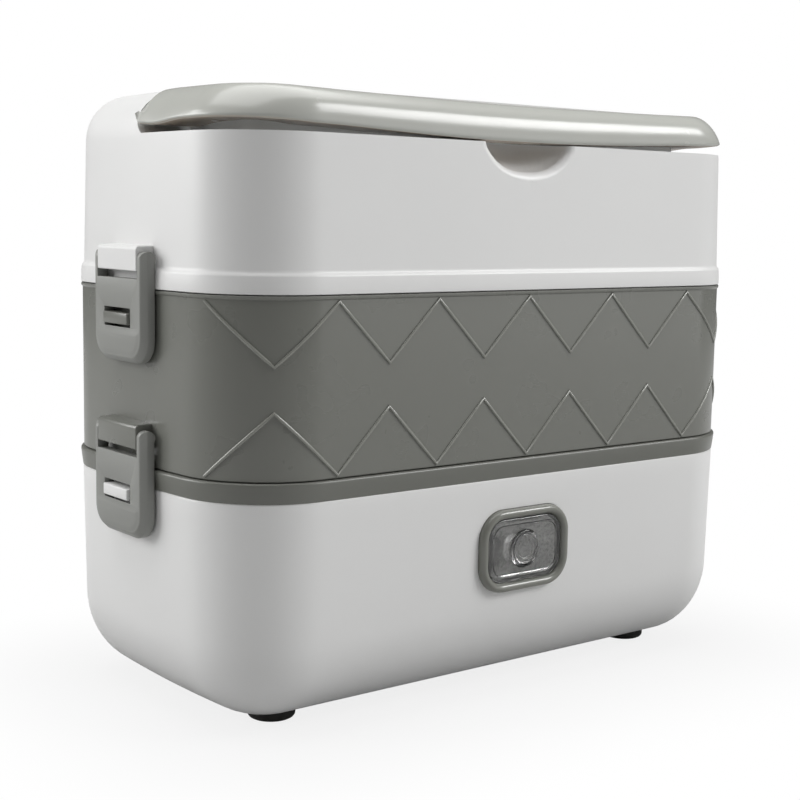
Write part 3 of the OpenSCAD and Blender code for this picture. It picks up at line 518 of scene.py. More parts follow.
def base_lean(z, t=0.0):
    """Offset of the leaning wall at height z, at thickness t inside it."""
    return BASE_OFF + (BASE_OFF_TOP - BASE_OFF) * (z - BASE_Z - FIL_H) / (BASE_TOP - BASE_Z - FIL_H) - t


levels = base_wall(0, 0)
levels += [(z, base_lean(z)) for z in (42.0, 52.0, 62.0, 72.0, 76.9)]
levels += [(BASE_TOP - 0.25, base_lean(77) - 0.08), (BASE_TOP, base_lean(77) - 0.3),
           (BASE_TOP, base_lean(77) - WALL + 0.3)]
levels += [(z, base_lean(z, WALL)) for z in (72.0, 52.0)]
levels += base_wall(WALL, FLOOR_T)[::-1]
base_shell = mesh_object("base_shell_skin", *case_skin(levels), white_pp)
flat = [(0, round_loop(*COVER_HOLE)), (BASE_Z + 2.1, round_loop(*COVER_HOLE))]
tools = [mesh_object("tool", *skin(flat), white_pp)]
for w, d in VENTS:
    tools.append(mesh_object("tool", *skin([(3, round_loop(w, d, 3)), (9.4, round_loop(w, d, 3))]), white_pp))
for sy in (-1, 1):
    a, b = sorted((sy * 70, sy * FRONT_Y))
    tools.append(tool_slab(*SURROUND_SEAT, a, b))
    a, b = sorted((sy * 69, sy * (FRONT_Y - 8)))
    tools.append(tool_slab(*SLEEVE_HOLE, a, b))
for sx in (-1, 1):
    for sy in (-1, 1):
        tools.append(tool_rod("z", 0, BASE_Z + 2, FOOT_R, sx * FOOT_X, sy * FOOT_Y))
        tools.append(tool_rod("z", 0, 12, 3.1, sx * DECK_SCREW_X, sy * DECK_SCREW_Y))
cut(base_shell, tools)
print("base shell", len(base_shell.data.vertices), "vertices")

# %% Catches on the base, lugs and catches elsewhere
def side_profile(pts, half_w, cx, pz, s):
    """A block drawn in the plane seen from the front, run along y."""
    p = np.array(pts, float)
    n = len(p)
    v = np.array([(s * (cx + a), y, pz + b) for y in (-half_w, half_w) for a, b in p])
    f = [tuple(range(n)), tuple(range(2 * n - 1, n - 1, -1))]
    f += [(i, (i + 1) % n, n + (i + 1) % n, n + i) for i in range(n)]
    return v, f


def catch(wall_x, px, pz, s, material):
    """The tooth that a latch's window drops over; s is -1 on the left and 1 on the right."""
    pts = [(wall_x - 1.5 - px, -21.1), (3.3, -21.1), (3.3, -17.4), (wall_x - 1.5 - px, -17.4)]
    return soften(mesh_object("tool", *side_profile(pts, 8.1, px, pz, s), material), 0.4, 3)


def lug(wall_x, px, pz, s, material):
    """The block on the wall that carries a latch's pin."""
    pts = [(wall_x - 2 - px, -3.8), (2.6, -3.8), (2.6, 3.4), (1.9, 4.15), (wall_x - 2 - px, 4.4)]
    ob = mesh_object("tool", *side_profile(pts, 13.2, px, pz, s), material)
    return soften(ob, 0.8, 4)


PIVOT_X, UP_Z, LOW_Z, LOW_DX = SIDE_X + 2, TIER_TOP + 9.7, TIER_TOP + 9.7 - 56.8, 0.4
cut(base_shell, [catch(SIDE_X + BASE_OFF_TOP, PIVOT_X + LOW_DX, LOW_Z, s, white_pp) for s in (-1, 1)],
    "UNION")
posts = []
for sx in (-1, 1):
    for sy in (-1, 1):
        posts.append(tool_rod("z", BASE_Z + 8, 17.6, POST_R, sx * COVER_SCREW_X, sy * COVER_SCREW_Y, 24))
cut(base_shell, posts, "UNION")
place(base_shell, "base", "white_shell", "base_shell")

# %% [markdown]
# ## Collar and well
# The grey collar caps the base: a band 6.5 mm tall with a small bright ledge on top, and the
# shallow well behind it that holds the heating plate. It is one moulding, so one stack goes
# up the outside, over the ledge, up the lip, down the well and under its floor.

# %% Collar and well
o = BASE_OFF_TOP + 0.1
collar_levels = [(BASE_TOP + 0.02, o - 2.7), (BASE_TOP + 0.02, o - 0.25), (BASE_TOP + 0.25, o),
                 (BASE_TOP + 2.5, o + 0.3), (COLLAR_TOP - 0.9, 0.48), (COLLAR_TOP - 0.45, 0.42),
                 (COLLAR_TOP - 0.12, 0.18), (COLLAR_TOP, -0.1), (COLLAR_TOP, -6.0),
                 (COLLAR_TOP + 0.3, -6.2), (COLLAR_TOP + 3.3, -6.2), (COLLAR_TOP + 3.6, -6.5),
                 (COLLAR_TOP + 3.6, -8.1), (COLLAR_TOP + 3.3, -8.4), (72, -9.6), (69.6, -10.0),
                 (69.0, -10.6), (69.0, -27.5), (66.6, -27.5), (66.6, -7.9), (67, -7.6),
                 (COLLAR_TOP - 2.4, -6.4), (COLLAR_TOP - 2.4, -5.4), (BASE_TOP + 0.02, -5.4),
                 (BASE_TOP - 4.8, -5.35), (BASE_TOP - 5, -5.1), (BASE_TOP - 5, -3.4), (BASE_TOP - 4.8, -3.15)]
v, f = skin([(z, case_loop(q)) for z, q in collar_levels], closed=True)
collar = mesh_object("base_collar", v, f, collar_pp)
posts = [tool_rod("z", 24, 67.6, POST_R, sx * DECK_SCREW_X, sy * DECK_SCREW_Y, 28)
         for sx in (-1, 1) for sy in (-1, 1)]
cut(collar, posts, "UNION")
place(collar, "base", "grey_trim", "base_deck")

# %% [markdown]
# ## Middle tier
# A grey tube with a floor half way up. Its top edge carries a thin rim that stands half a
# millimetre proud and catches the light under the white lid. Lugs for the lower latches and
# catches for the upper ones are part of the same moulding.

# %% Middle tier
TIER_O, RAIL_O, FLOOR_Z, LIP_O = -0.6, -3.3, 122.2, -6.3
FLOOR_MIDDLE = -45.0
tier_levels = [(TIER_BOT, TIER_O - 0.3), (TIER_BOT + 0.3, TIER_O), (100, TIER_O), (120, TIER_O),
               (TIER_TOP - 1.35, TIER_O), (TIER_TOP - 1.15, TIER_O + 0.32), (TIER_TOP - 0.85, TIER_O + 0.5),
               (TIER_TOP - 0.25, TIER_O + 0.5), (TIER_TOP, TIER_O + 0.25), (TIER_TOP, LIP_O + 0.3),
               (TIER_TOP + 0.3, LIP_O), (TIER_TOP + 4.3, LIP_O), (TIER_TOP + 4.6, LIP_O - 0.3),
               (TIER_TOP + 4.6, LIP_O - 1.9), (TIER_TOP + 4.3, LIP_O - 2.2), (TIER_TOP - 2.6, LIP_O - 2.2),
               (TIER_TOP - 6.6, RAIL_O), (FLOOR_Z + WALL + 1.2, RAIL_O), (FLOOR_Z + WALL, RAIL_O - 1.2),
               (FLOOR_Z + WALL, FLOOR_MIDDLE), (FLOOR_Z, FLOOR_MIDDLE), (FLOOR_Z, RAIL_O - 1.0),
               (FLOOR_Z - 1.0, RAIL_O), (TIER_BOT + 0.3, RAIL_O), (TIER_BOT, RAIL_O + 0.3)]
v, f = skin([(z, case_loop(q)) for z, q in tier_levels], closed=True)
# the two loops in the floor's middle are closed by a face each, instead of being joined
n = len(case_loop(0))
a, b = (i * n for i, (z, q) in enumerate(tier_levels) if q == FLOOR_MIDDLE)
f = drop_between(f, a, b, n)
f += [tuple(a + i for i in range(n)), tuple(b + i for i in range(n - 1, -1, -1))]
tier = mesh_object("tier_shell_skin", v, f, tier_pp)
parts = []
for s in (-1, 1):
    parts.append(catch(SIDE_X + TIER_O, PIVOT_X, UP_Z, s, tier_pp))
    parts.append(lug(SIDE_X + TIER_O, PIVOT_X + LOW_DX, LOW_Z, s, tier_pp))
cut(tier, parts, "UNION")
slots = [tool_box(i * 22 - 6, i * 22 + 6, j * 18 - 2, j * 18 + 2, FLOOR_Z - 1, FLOOR_Z + WALL + 1)
         for i in range(-4, 5) if i for j in (-1, 1)]
slots += [tool_rod("y", -17, 17, PIN_BORE_R, s * (PIVOT_X + LOW_DX), LOW_Z, 24) for s in (-1, 1)]
cut(tier, slots)
place(tier, "tier", "tier_plastic", "tier_shell")

# %% [markdown]
# ## Zigzag ribs
# Two rows of thin ribs zigzag across the tier's front and wrap a little way round its
# corners. Each is the same small profile run along a path, so Geometry Nodes do it: the path
# goes in as a chain of points, Curve to Mesh sweeps a low oval profile along it, and the
# sizes are inputs of the tree.

# %% Rib path on the case wall
PERIOD, PERIOD_END = 39.96, 43.1
FLAT = HW - CORNER


def on_wall(s, z, o):
    """Point s along the front wall from its middle, at height z, o outside the case's outline."""
    sign = 1 if s >= 0 else -1
    s = abs(s)
    r = CORNER + o
    if s <= FLAT:
        return (sign * s, -(HD + o), z)
    a = (s - FLAT) / CORNER
    x, y = FLAT + r * math.sin(a), -(HD - CORNER + r * math.cos(a))
    return (sign * (x + bow(x, y)), y, z)


def step_at(k):
    """Where along the wall the k-th whole zigzag starts; the ones round the corners are longer."""
    return k * PERIOD if abs(k) <= 2 else math.copysign(2 * PERIOD + (abs(k) - 2) * PERIOD_END, k)


def zigzag(z_even, z_odd, o):
    """The path of one row of ribs, between the two heights."""
    pts = []
    for k in range(-6, 6):
        s0, s1 = step_at(k / 2), step_at((k + 1) / 2)
        z0, z1 = (z_even, z_odd) if k % 2 == 0 else (z_odd, z_even)
        steps = 10 if max(abs(s0), abs(s1)) > FLAT else 4
        pts += [on_wall(s0 + (s1 - s0) * i / steps, z0 + (z1 - z0) * i / steps, o) for i in range(steps)]
    pts.append(on_wall(step_at(3), z_even, o))
    return np.array(pts)


def path_mesh(name, pts):
    """A chain of points, for a tree to sweep along."""
    me = bpy.data.meshes.new(name)
    edges = [(i, i + 1) for i in range(len(pts) - 1)]
    me.from_pydata((pts * MM).tolist(), edges, [])
    ob = bpy.data.objects.new(name, me)
    bpy.context.scene.collection.objects.link(ob)
    return ob


print("rib path points", len(zigzag(140.1, 119.8, 0)))

# %% Sweep tree
def new_tree(name, sizes):
    """A Geometry Nodes tree with geometry in and out and one named input for each size."""
    t = bpy.data.node_groups.new(name, "GeometryNodeTree")
    t.interface.new_socket("Geometry", in_out="INPUT", socket_type="NodeSocketGeometry")
    ids = {}
    for label, kind, value in sizes:
        s = t.interface.new_socket(label, in_out="INPUT", socket_type=kind)
        if value is not None:
            s.default_value = value
        ids[label] = s.identifier
    t.interface.new_socket("Geometry", in_out="OUTPUT", socket_type="NodeSocketGeometry")
    return t, ids, t.nodes.new("NodeGroupInput")


def run_tree(ob, tree, ids, values, angle=32):
    """Runs a tree on an object with these sizes, and keeps its result."""
    mod = ob.modifiers.new("tree", "NODES")
    mod.node_group = tree
    for label, value in values.items():
        mod[ids[label]] = value
    return bake(ob, angle)


def sweep_tree():
    """Sweeps an oval of a given width and height along the path, and closes its ends."""
    t, ids, src = new_tree("sweep_profile",
                           [("Width", "NodeSocketFloat", 1.1 * MM), ("Height", "NodeSocketFloat", 0.6 * MM),
                            ("Material", "NodeSocketMaterial", None)])
    curve = add(t, "GeometryNodeMeshToCurve", None, {"Mesh": src.outputs["Geometry"]})
    profile = add(t, "GeometryNodeCurvePrimitiveCircle", {"mode": "RADIUS"},
                  {"Resolution": 12, "Radius": 0.5})
    size = add(t, "ShaderNodeCombineXYZ", None,
               {"X": src.outputs["Height"], "Y": src.outputs["Width"], "Z": 1.0})
    flat = add(t, "GeometryNodeTransform", None,
               {"Geometry": profile.outputs["Curve"], "Scale": size.outputs[0]})
    tube = add(t, "GeometryNodeCurveToMesh", None,
               {"Curve": curve.outputs["Curve"], "Profile Curve": flat.outputs["Geometry"],
                "Fill Caps": True})
    real = add(t, "GeometryNodeRealizeInstances", None, {"Geometry": tube.outputs["Mesh"]})
    made = add(t, "GeometryNodeSetMaterial", None,
               {"Geometry": real.outputs["Geometry"], "Material": src.outputs["Material"]})
    out = t.nodes.new("NodeGroupOutput")
    t.links.new(made.outputs["Geometry"], out.inputs["Geometry"])
    return t, ids


sweep, sweep_ids = sweep_tree()
# The ribs are the tier's own plastic, coloured a lighter grey: a painted highlight on their rounded edges.
rib_highlight_pp = moulded("rib_grey_polypropylene", "#8b8c85", 0.26, peel=0.03, drift=0.01, scuffs=0.03, coat=0.4)
for label, z_even, z_odd in (("upper", TIER_TOP - 1.9, TIER_TOP - 21.7),
                             ("lower", TIER_TOP - 56.0, TIER_TOP - 35.7)):
    rib = path_mesh("zigzag_ribs_" + label, zigzag(z_even, z_odd, TIER_O + 0.12))
    run_tree(rib, sweep, sweep_ids, {"Width": 1.15 * MM, "Height": 1.0 * MM, "Material": rib_highlight_pp}, 50)
    place(rib, "tier", "tier_plastic")

# %% [markdown]
# ## Lid
# The lid is a white dome. Its front half is cut down to a rim, in a U-shaped channel that
# holds the folded handle, with a shallow seat at each end where the handle's nose turns. A
# bowl in the rim lets a finger in under the bar. The dome is a stack of outlines, and the
# channel, the bowl and the slots are cut out of it. The skirt at its foot steps out a little.
#
# Where the bowl comes out of the front wall, its edge is rounded. A bevel would be simpler,
# but the edges there are too short for it. So a second tool repeats the bowl's outline, a
# little wider the nearer it is to the front.

# %% Lid
LID_O, LID_O_RIM, ROUND, CHAN = -1.2, -2.2, 16.0, 21.0
PIN_Y, PIN_Z, SWING = -8.2, LID_RIM + 7.7, 8.8
LEAN_FROM, LEAN_OVER = 149, 40
BOWL_OUT, LIP_R = 1.5, 2.6
SCOOP_IN, SCOOP_OUT, SCOOP_GAP = 99, 116.1, 0.03


def dome(t, steps=14):
    """The rounding from the wall to the flat top, at thickness t inside it."""
    r = ROUND - t
    return [(LID_TOP - t - r * (1 - math.sin(a)), LID_O_RIM - t - r * (1 - math.cos(a)))
            for a in np.linspace(0, math.pi / 2, steps)]


lid_levels = [(LID_BOT, -WALL - 0.9), (LID_BOT, -0.35), (LID_BOT + 0.3, -0.05), (LID_BOT + 3.0, -0.12),
              (LID_BOT + 5.4, -0.26), (LID_BOT + 5.9, -0.42), (LID_BOT + 6.4, -0.85),
              (LID_BOT + 6.9, -1.12), (LID_BOT + 7.6, LID_O)]
lid_levels += [(z, LID_O + (LID_O_RIM - LID_O) * (z - LEAN_FROM) / LEAN_OVER)
               for z in (156.0, 165.0, 174.0, 183.0)]
lid_levels += dome(0)
outer = mesh_object("lid_shell_skin", *case_skin(lid_levels), white_pp)


def channel_tool(z0, g):
    """The U-shaped channel: everything in front of the shoulder and outside the plateau, above z0."""
    front = tool_box(-SIDE_X - 5, SIDE_X + 5, -HD - 5, -0.2 + g, z0, LID_TOP + 5)
    island = mesh_object("tool", *case_skin([(z0 - 1, -CHAN - g), (LID_TOP + 6, -CHAN - g)]), white_pp)
    seat = tool_box(-SIDE_X - 6, SIDE_X + 6, -6.5, 1 + g, z0 - 2, PIN_Z - 0.5)
    cut(seat, [tool_rod("x", -SIDE_X - 8, SIDE_X + 8, SWING + g, PIN_Y, PIN_Z, 64)])
    return cut(front, [island, seat])


def bowl_depths(g):
    """(radius, depth below the rim) of the finger notch, from its bottom up to past the rim."""
    return [(0, 9.8 + g), (4 + g * 0.4, 9.7 + g), (8 + g * 0.6, 9.15 + g * 0.95),
            (11.6 + g * 0.8, 8.0 + g * 0.85), (14.6 + g, 6.2 + g * 0.6), (17 + g, 4.0 + g * 0.4),
            (18.7 + g, 1.9 + g * 0.1), (19.4 + g, 0.0), (19.9 + g, -1.5)]


def bowl_tool(g):
    """The finger notch as a solid, g larger all over."""
    t = np.linspace(0, 2 * np.pi, 96, endpoint=False)
    circle = np.column_stack([np.cos(t), np.sin(t)])
    v, f = skin([(LID_RIM - d, circle * max(r, 0.2)) for r, d in bowl_depths(g)])
    return mesh_object("tool", v + np.array([0, -HD - BOWL_OUT, 0]), f, white_pp, 60)


def lip_tool(radius, steps=8):
    """Rounds the edge where the notch comes out of the lid's front."""
    radii, depths = (np.array(c) for c in zip(*bowl_depths(0)))
    along, reach = np.radians(np.linspace(-90, 90, 61)), np.linspace(0.5, 26, 900)

    def outline(t, wider):
        """The notch's outline at depth t behind the front wall."""
        y = BOWL_OUT - LID_O_RIM + t
        loop = []
        for a in along:
            inside = np.interp(np.hypot(reach * math.sin(a), y), radii, depths) > reach * math.cos(a)
            far = reach[np.argmin(inside)] + wider
            loop.append((far * math.sin(a), -far * math.cos(a)))
        return np.array([(loop[0][0], 4.0), (loop[-1][0], 4.0)] + loop[::-1])

    levels = [(-1.0, outline(0, radius))]
    for a in np.linspace(90, 0, steps):
        t = radius * (1 - math.sin(math.radians(a)))
        levels.append((t, outline(t, radius * (1 - math.cos(math.radians(a))))))
    levels.append((radius + 0.8, outline(radius + 0.8, -0.25)))
    v, f = skin(levels)
    z = LID_RIM + v[:, 1]
    wall = -(HD + LID_O + (LID_O_RIM - LID_O) * np.clip((z - LEAN_FROM) / LEAN_OVER, 0, 1))
    return mesh_object("tool", np.column_stack([v[:, 0], wall + v[:, 2], z]), f, white_pp, 60)


def triangulate(ob):
    """Triangles leave the next boolean no large face with a hole in it."""
    bm = bmesh.new()
    bm.from_mesh(ob.data)
    bmesh.ops.triangulate(bm, faces=bm.faces)
    bm.to_mesh(ob.data)
    bm.free()


def part_wall_and_lip(ob):
    """Keeps the lip's shading off the flat front wall: the edges between the two are sharp."""
    bm = bmesh.new()
    bm.from_mesh(ob.data)
    kept = 0
    for e in bm.edges:
        mid = (e.verts[0].co + e.verts[1].co) / 2 / MM
        if len(e.link_faces) == 2 and abs(mid.x) < 30 and mid.y < 4 - FRONT_Y and mid.z > LID_RIM - 24:
            flat = [f.normal.y < -0.998 for f in e.link_faces]
            if flat[0] != flat[1]:
                e.smooth = False
                kept += 1
    bm.to_mesh(ob.data)
    bm.free()
    return kept


low_levels = [(LID_BOT - 1, LID_O - WALL), (LID_BOT + 7, LID_O - WALL), (LID_RIM - WALL, LID_O_RIM - WALL)]
inner_low = mesh_object("tool", *case_skin(low_levels), white_pp)
inner_high = mesh_object("tool", *case_skin([(LID_BOT + 6, LID_O - WALL)] + dome(WALL)), white_pp)
cut(inner_high, [channel_tool(LID_RIM - WALL, WALL)])
cut(outer, [inner_low, inner_high])
pocket = mesh_object("tool", *case_skin([(LID_BOT + 20, LID_O - 0.5), (LID_RIM, LID_O_RIM - 0.2)]), white_pp)
wall_bowl = bowl_tool(2.2)
cut(wall_bowl, [pocket], "INTERSECT")
bosses = [tool_rod("x", min(s * 84, s * 96.5), max(s * 84, s * 96.5), 4.9, PIN_Y, PIN_Z, 36) for s in (-1, 1)]
lugs = [lug(SIDE_X + LID_O, PIVOT_X, UP_Z, s, white_pp) for s in (-1, 1)]
cut(outer, [wall_bowl] + bosses + lugs, "UNION")
print("lid before the channel", len(outer.data.vertices), "vertices")

# %% [markdown]
# The cuts follow one another. Splitting the faces into triangles in between keeps the mesh
# closed. At the end the normals are weighted by area, so that flat faces look flat, and the
# edges between the front wall and the rounded lip stay sharp, so that the lip's shading
# doesn't run down the wall.

# %% Lid channel, bowl and slots
cut(outer, [channel_tool(LID_RIM, 0), bowl_tool(0)])
triangulate(outer)
cut(outer, [lip_tool(LIP_R)])
triangulate(outer)
tools = []
for s in (-1, 1):
    a, b = sorted((s * SCOOP_IN, s * SCOOP_OUT))
    tools.append(tool_rod("x", a, b, SWING + SCOOP_GAP, PIN_Y, PIN_Z, 64))
    a, b = sorted((s * 82, s * 120))
    tools.append(tool_rod("x", a, b, 2.56, PIN_Y, PIN_Z, 32))
    tools.append(tool_rod("y", -17, 17, PIN_BORE_R, s * PIVOT_X, UP_Z, 24))
cut(outer, tools)
slots = [tool_box(i * 8 - 1.5, i * 8 + 1.5, 18, 30, LID_TOP - WALL - 1, LID_TOP + 1) for i in range(-2, 3)]
cut(outer, slots)
smooth(outer, 48)
print("lid edges kept sharp round the notch", part_wall_and_lip(outer))
mod = outer.modifiers.new("flat_faces", "WEIGHTED_NORMAL")
mod.weight, mod.keep_sharp = 100, True
outer.data = bpy.data.meshes.new_from_object(outer.evaluated_get(bpy.context.evaluated_depsgraph_get()))
outer.modifiers.clear()
place(outer, "lid", "white_shell", "lid_shell")

# %% [markdown]
# ## Handle
# The handle is a U that lies folded round the front of the lid. Its section is a bar with a
# flat underside and a full, rounded outer face, so the polished plastic carries long soft
# highlights that bend round the corners. The arms and the bar have a section each, drawn as
# (distance from the outer face, share of the height), and the two blend at the corners. They
# are carried along the same outline as the case. The height changes on the way: the places of
# the underside and of the crest above the lid's rim were read off the photograph, through the
# fitted camera. Each arm ends in a nose that stays inside a circle about the pivot, to swing
# freely. The underside is painted a warmer tone, as in the photograph: painted shade and warm
# reflected light under the bar.

# %% Handle
HANDLE_PROUD, NOSE_OUTER, NOSE_INNER = 0.6, 7.6, 8.55
BLEND_FROM, BLEND_OVER = 1.35, 0.75
HEIGHTS = [(0.0, 3.0, 14.2), (0.12, 2.8, 14.35), (0.3, 2.45, 14.5), (0.45, 2.6, 14.5), (0.6, 3.1, 14.5),
           (0.8, 3.6, 14.5), (1.0, 3.7, 14.5), (1.33, 3.85, 14.5), (1.67, 3.4, 14.48), (2.0, 2.65, 14.2),
           (2.15, 2.3, 13.95), (2.3, 1.75, 13.75), (2.5, 1.1, 13.6), (2.75, 0.55, 13.3), (3.0, 0.45, 13.2)]
ARM_SECTION = [(-1.7, 0.0), (-1.1, 0.02), (-0.6, 0.034), (-0.4, 0.075), (-0.61, 0.131), (-1.2, 0.242),
               (-2.15, 0.381), (-3.4, 0.532), (-4.87, 0.68), (-6.47, 0.811), (-8.06, 0.913), (-9.51, 0.978),
               (-10.51, 1.0), (-12.78, 0.985), (-14.92, 0.91), (-16.35, 0.76), (-16.98, 0.56),
               (-17.0, 0.34), (-16.75, 0.12), (-16.2, 0.02), (-15.4, 0.0), (-10.5, 0.0), (-6.0, 0.0)]
BAR_SECTION = [(-1.7, 0.0), (-1.1, 0.02), (-0.75, 0.05), (-0.6, 0.1), (-0.62, 0.2), (-0.8, 0.33),
               (-1.2, 0.47), (-1.95, 0.61), (-3.2, 0.74), (-4.9, 0.85), (-6.9, 0.935), (-8.9, 0.983),
               (-10.7, 1.0)] + ARM_SECTION[13:]


def catmull(points, per, closed):
    """A smooth curve through the points, with per steps between each two."""
    p = np.array(points, float)
    n = len(p)
    out = []
    for i in range(n if closed else n - 1):
        a, b, c, d = (p[(i + k) % n] if closed else p[min(max(i + k, 0), n - 1)] for k in (-1, 0, 1, 2))
        for u in np.linspace(0, 1, per, endpoint=False):
            out.append(0.5 * ((2 * b) + (c - a) * u + (2 * a - 5 * b + 4 * c - d) * u ** 2
                              + (3 * b - a - 3 * c + d) * u ** 3))
    if not closed:
        out.append(p[-1])
    return np.array(out)


def handle_stations():
    """(kind, value) along the left half of the U, from the end of its arm to the middle of the bar."""
    st = [("side", k) for k in np.concatenate([np.linspace(0, 0.12, 13)[:-1], np.linspace(0.12, 1, 24)[:-1]])]
    st += [("arc", t) for t in np.linspace(0, 90, 37)[:-1]]
    return st + [("bar", x) for x in np.linspace(-FLAT, 0, 44)]


def station_xy(kind, value, o):
    """Where a station of the U stands, seen from above, at offset o from the case's outline."""
    r = max(CORNER + o, 1.5)
    if kind == "bar":
        return value, -(HD + o)
    if kind == "side":
        x, y = HW + o, -0.8 + (0.8 - (HD + o - r)) * value
    else:
        t = math.radians(value)
        x, y = HW + o - r + r * math.cos(t), -(HD + o - r + r * math.sin(t))
    return -(x + bow(x, y)), y


def place_along(kind, value):
    """0 at the end of the arm, 1 and 2 at the ends of the corner, 3 in the middle of the bar."""
    if kind == "side":
        return value
    return 1 + value / 90 if kind == "arc" else 2 + (FLAT - abs(value)) / FLAT


def swing_room(y, o):
    """How far above and below the pin the end of an arm may go, to swing clear of the channel."""
    reach = NOSE_OUTER if o > LID_O_RIM - 1.3 else NOSE_INNER
    d = y - PIN_Y
    return math.sqrt(max(0.04, reach ** 2 - d ** 2)) if d > 0 else 99.0


def handle_mesh():
    """The whole U: the left half's stations, and the same ones mirrored."""
    arm, bar = catmull(ARM_SECTION, 3, True), catmull(BAR_SECTION, 3, True)
    heights = catmull(HEIGHTS, 8, False)
    st = handle_stations()
    full = st + [(k, -v) if k == "bar" else (k, v) for k, v in st[-2::-1]]
    verts = []
    for i, (kind, value) in enumerate(full):
        flip = i >= len(st)
        v2 = -abs(value) if kind == "bar" else value
        at = place_along(kind, v2)
        lo, top = (LID_RIM + float(np.interp(at, heights[:, 0], heights[:, k])) for k in (1, 2))
        full_bar = min(1, max(0, (at - BLEND_FROM) / BLEND_OVER))
        full_bar *= full_bar * (3 - 2 * full_bar)
        sec = arm * (1 - full_bar) + bar * full_bar
        for n_off, h in sec:
            o = LID_O_RIM + HANDLE_PROUD + n_off
            x, y = station_xy(kind, v2, o)
            room = swing_room(y, o)
            low, high = max(lo, PIN_Z - room), min(top, PIN_Z + room)
            verts.append((-x if flip else x, y, low + (high - low) * h))
    m, n = len(sec), len(full)
    faces = [(i * m + j, i * m + (j + 1) % m, (i + 1) * m + (j + 1) % m, (i + 1) * m + j)
             for i in range(n - 1) for j in range(m)]
    faces += [tuple(range(m - 1, -1, -1)), tuple((n - 1) * m + j for j in range(m))]
    return np.array(verts), faces


def paint_warm_shade_underneath(m, code):
    """Mixes a warm tone into a material where it faces down: painted shade and warm reflected light."""
    t = m.node_tree
    shader = next(n for n in t.nodes if n.type == "BSDF_PRINCIPLED")
    painted = shader.inputs["Base Color"].links[0].from_socket
    facing = add(t, "ShaderNodeSeparateXYZ", None, {0: add(t, "ShaderNodeTexCoord").outputs["Normal"]})
    share = add(t, "ShaderNodeMapRange", None, {"Value": facing.outputs["Z"], "From Min": -0.75,
                                                "From Max": -0.9, "To Min": 0.0, "To Max": 1.0})
    tone = add(t, "ShaderNodeMix", {"data_type": "RGBA"}, {0: share.outputs[0], 6: painted, 7: rgb(code)})
    t.links.new(tone.outputs[2], shader.inputs["Base Color"])


# The handle's underside is painted warm beige: painted shade and warm reflected light under the bar.
paint_warm_shade_underneath(handle_abs, "#beb2a3")
v, f = handle_mesh()
handle = mesh_object("carry_handle_bar", v, f, handle_abs, 60)
cut(handle, [tool_rod("x", min(s * 94, s * 109), max(s * 94, s * 109), 2.5, PIN_Y, PIN_Z, 32)
             for s in (-1, 1)])
smooth(handle, 60)
place(handle, "carry_handle", "handle_plastic", "handle")

# %% [markdown]
# ## Latches
# A latch is a grey plate that hangs from two ears on a steel pin. A window near its middle
# drops over the catch, and its lower third is a raised finger pad. Drawing its outline once
# at several insets gives the chamfer round the face and the pad. The same drawing serves all
# four, mirrored for the left side.

# %% Latches
LATCH_W, LATCH_L, LATCH_T, EAR_R, EAR_W = 34.0, 33.4, 3.4, 2.4, 3.5


def latch_loop(d, top=0.0, r0=8.0, arc=10):
    """The latch's outline seen from outside, d smaller, cut off at the height top."""
    w, b, r = LATCH_W / 2 - d, -LATCH_L + d, r0 - d * 0.8
    pts = [(-w, top), (-w, (top + b + r) / 2), (-w, b + r)]
    pts += [(-w + r + r * math.cos(a), b + r + r * math.sin(a))
            for a in np.radians(np.linspace(180, 270, arc))[1:]]
    pts += [(w - r + r * math.cos(a), b + r + r * math.sin(a))
            for a in np.radians(np.linspace(270, 360, arc))[:-1]]
    pts += [(w, b + r), (w, (top + b + r) / 2), (w, top)]
    return np.array(pts)


def latch_body(s, px, pz, name):
    """One latch about its pin at (px, pz); s is -1 on the left and 1 on the right."""
    def turn_out(v):
        return np.column_stack([s * (px + v[:, 2]), v[:, 0], pz + v[:, 1]])

    back = EAR_R - LATCH_T
    v, f = skin([(-2.6, latch_loop(0, 3)), (0.3, latch_loop(0, 3)), (0.5, latch_loop(0.1, 3)),
                 (EAR_R - 0.3, latch_loop(1.6, 3)), (EAR_R - 0.06, latch_loop(1.9, 3)),
                 (EAR_R, latch_loop(2.3, 3))])
    plate = mesh_object(name, turn_out(v), f, latch_pp)
    v, f = skin([(0.9, latch_loop(2.2, -22.2)), (EAR_R - 0.02, latch_loop(2.3, -22.3)),
                 (EAR_R + 0.25, latch_loop(3.0, -23.2)), (EAR_R + 0.5, latch_loop(4.2, -24.3))])
    pad = mesh_object("tool", turn_out(v), f, latch_pp)
    round_end = [(EAR_R * math.cos(a), EAR_R * math.sin(a)) for a in np.radians(np.linspace(0, 213, 30))]
    side = [(4, -34), (4, -0.4)] + round_end + [(-2.0, -34)]
    form = mesh_object("tool", *side_profile(side, LATCH_W, px, pz, s), latch_pp)
    cut(plate, [pad], "UNION")
    cut(plate, [form], "INTERSECT")
    x0, x1 = sorted((s * (px - 9), s * (px + 9)))
    gap = tool_box(x0, x1, -LATCH_W / 2 + EAR_W, LATCH_W / 2 - EAR_W, pz - 6.3, pz + 9)
    h0, h1 = sorted((s * (px - 5), s * (px + back)))
    hollow = tool_box(h0, h1, -LATCH_W / 2 + 2.6, LATCH_W / 2 - 2.6, pz - LATCH_L + 2.6, pz + 9)
    window = [(-4, -25), (back, -24.2), (EAR_R, -22.0), (EAR_R + 2, -22.0), (EAR_R + 2, -15.8), (-4, -15.8)]
    win = mesh_object("tool", *side_profile(window, 8.8, px, pz, s), latch_pp)
    bore = tool_rod("y", -LATCH_W / 2 + 1.2, LATCH_W / 2 - 1.2, PIN_BORE_R, s * px, pz, 24)
    cut(plate, [gap, hollow, win, bore])
    return soften(plate, 0.3, 2, 34, 42)


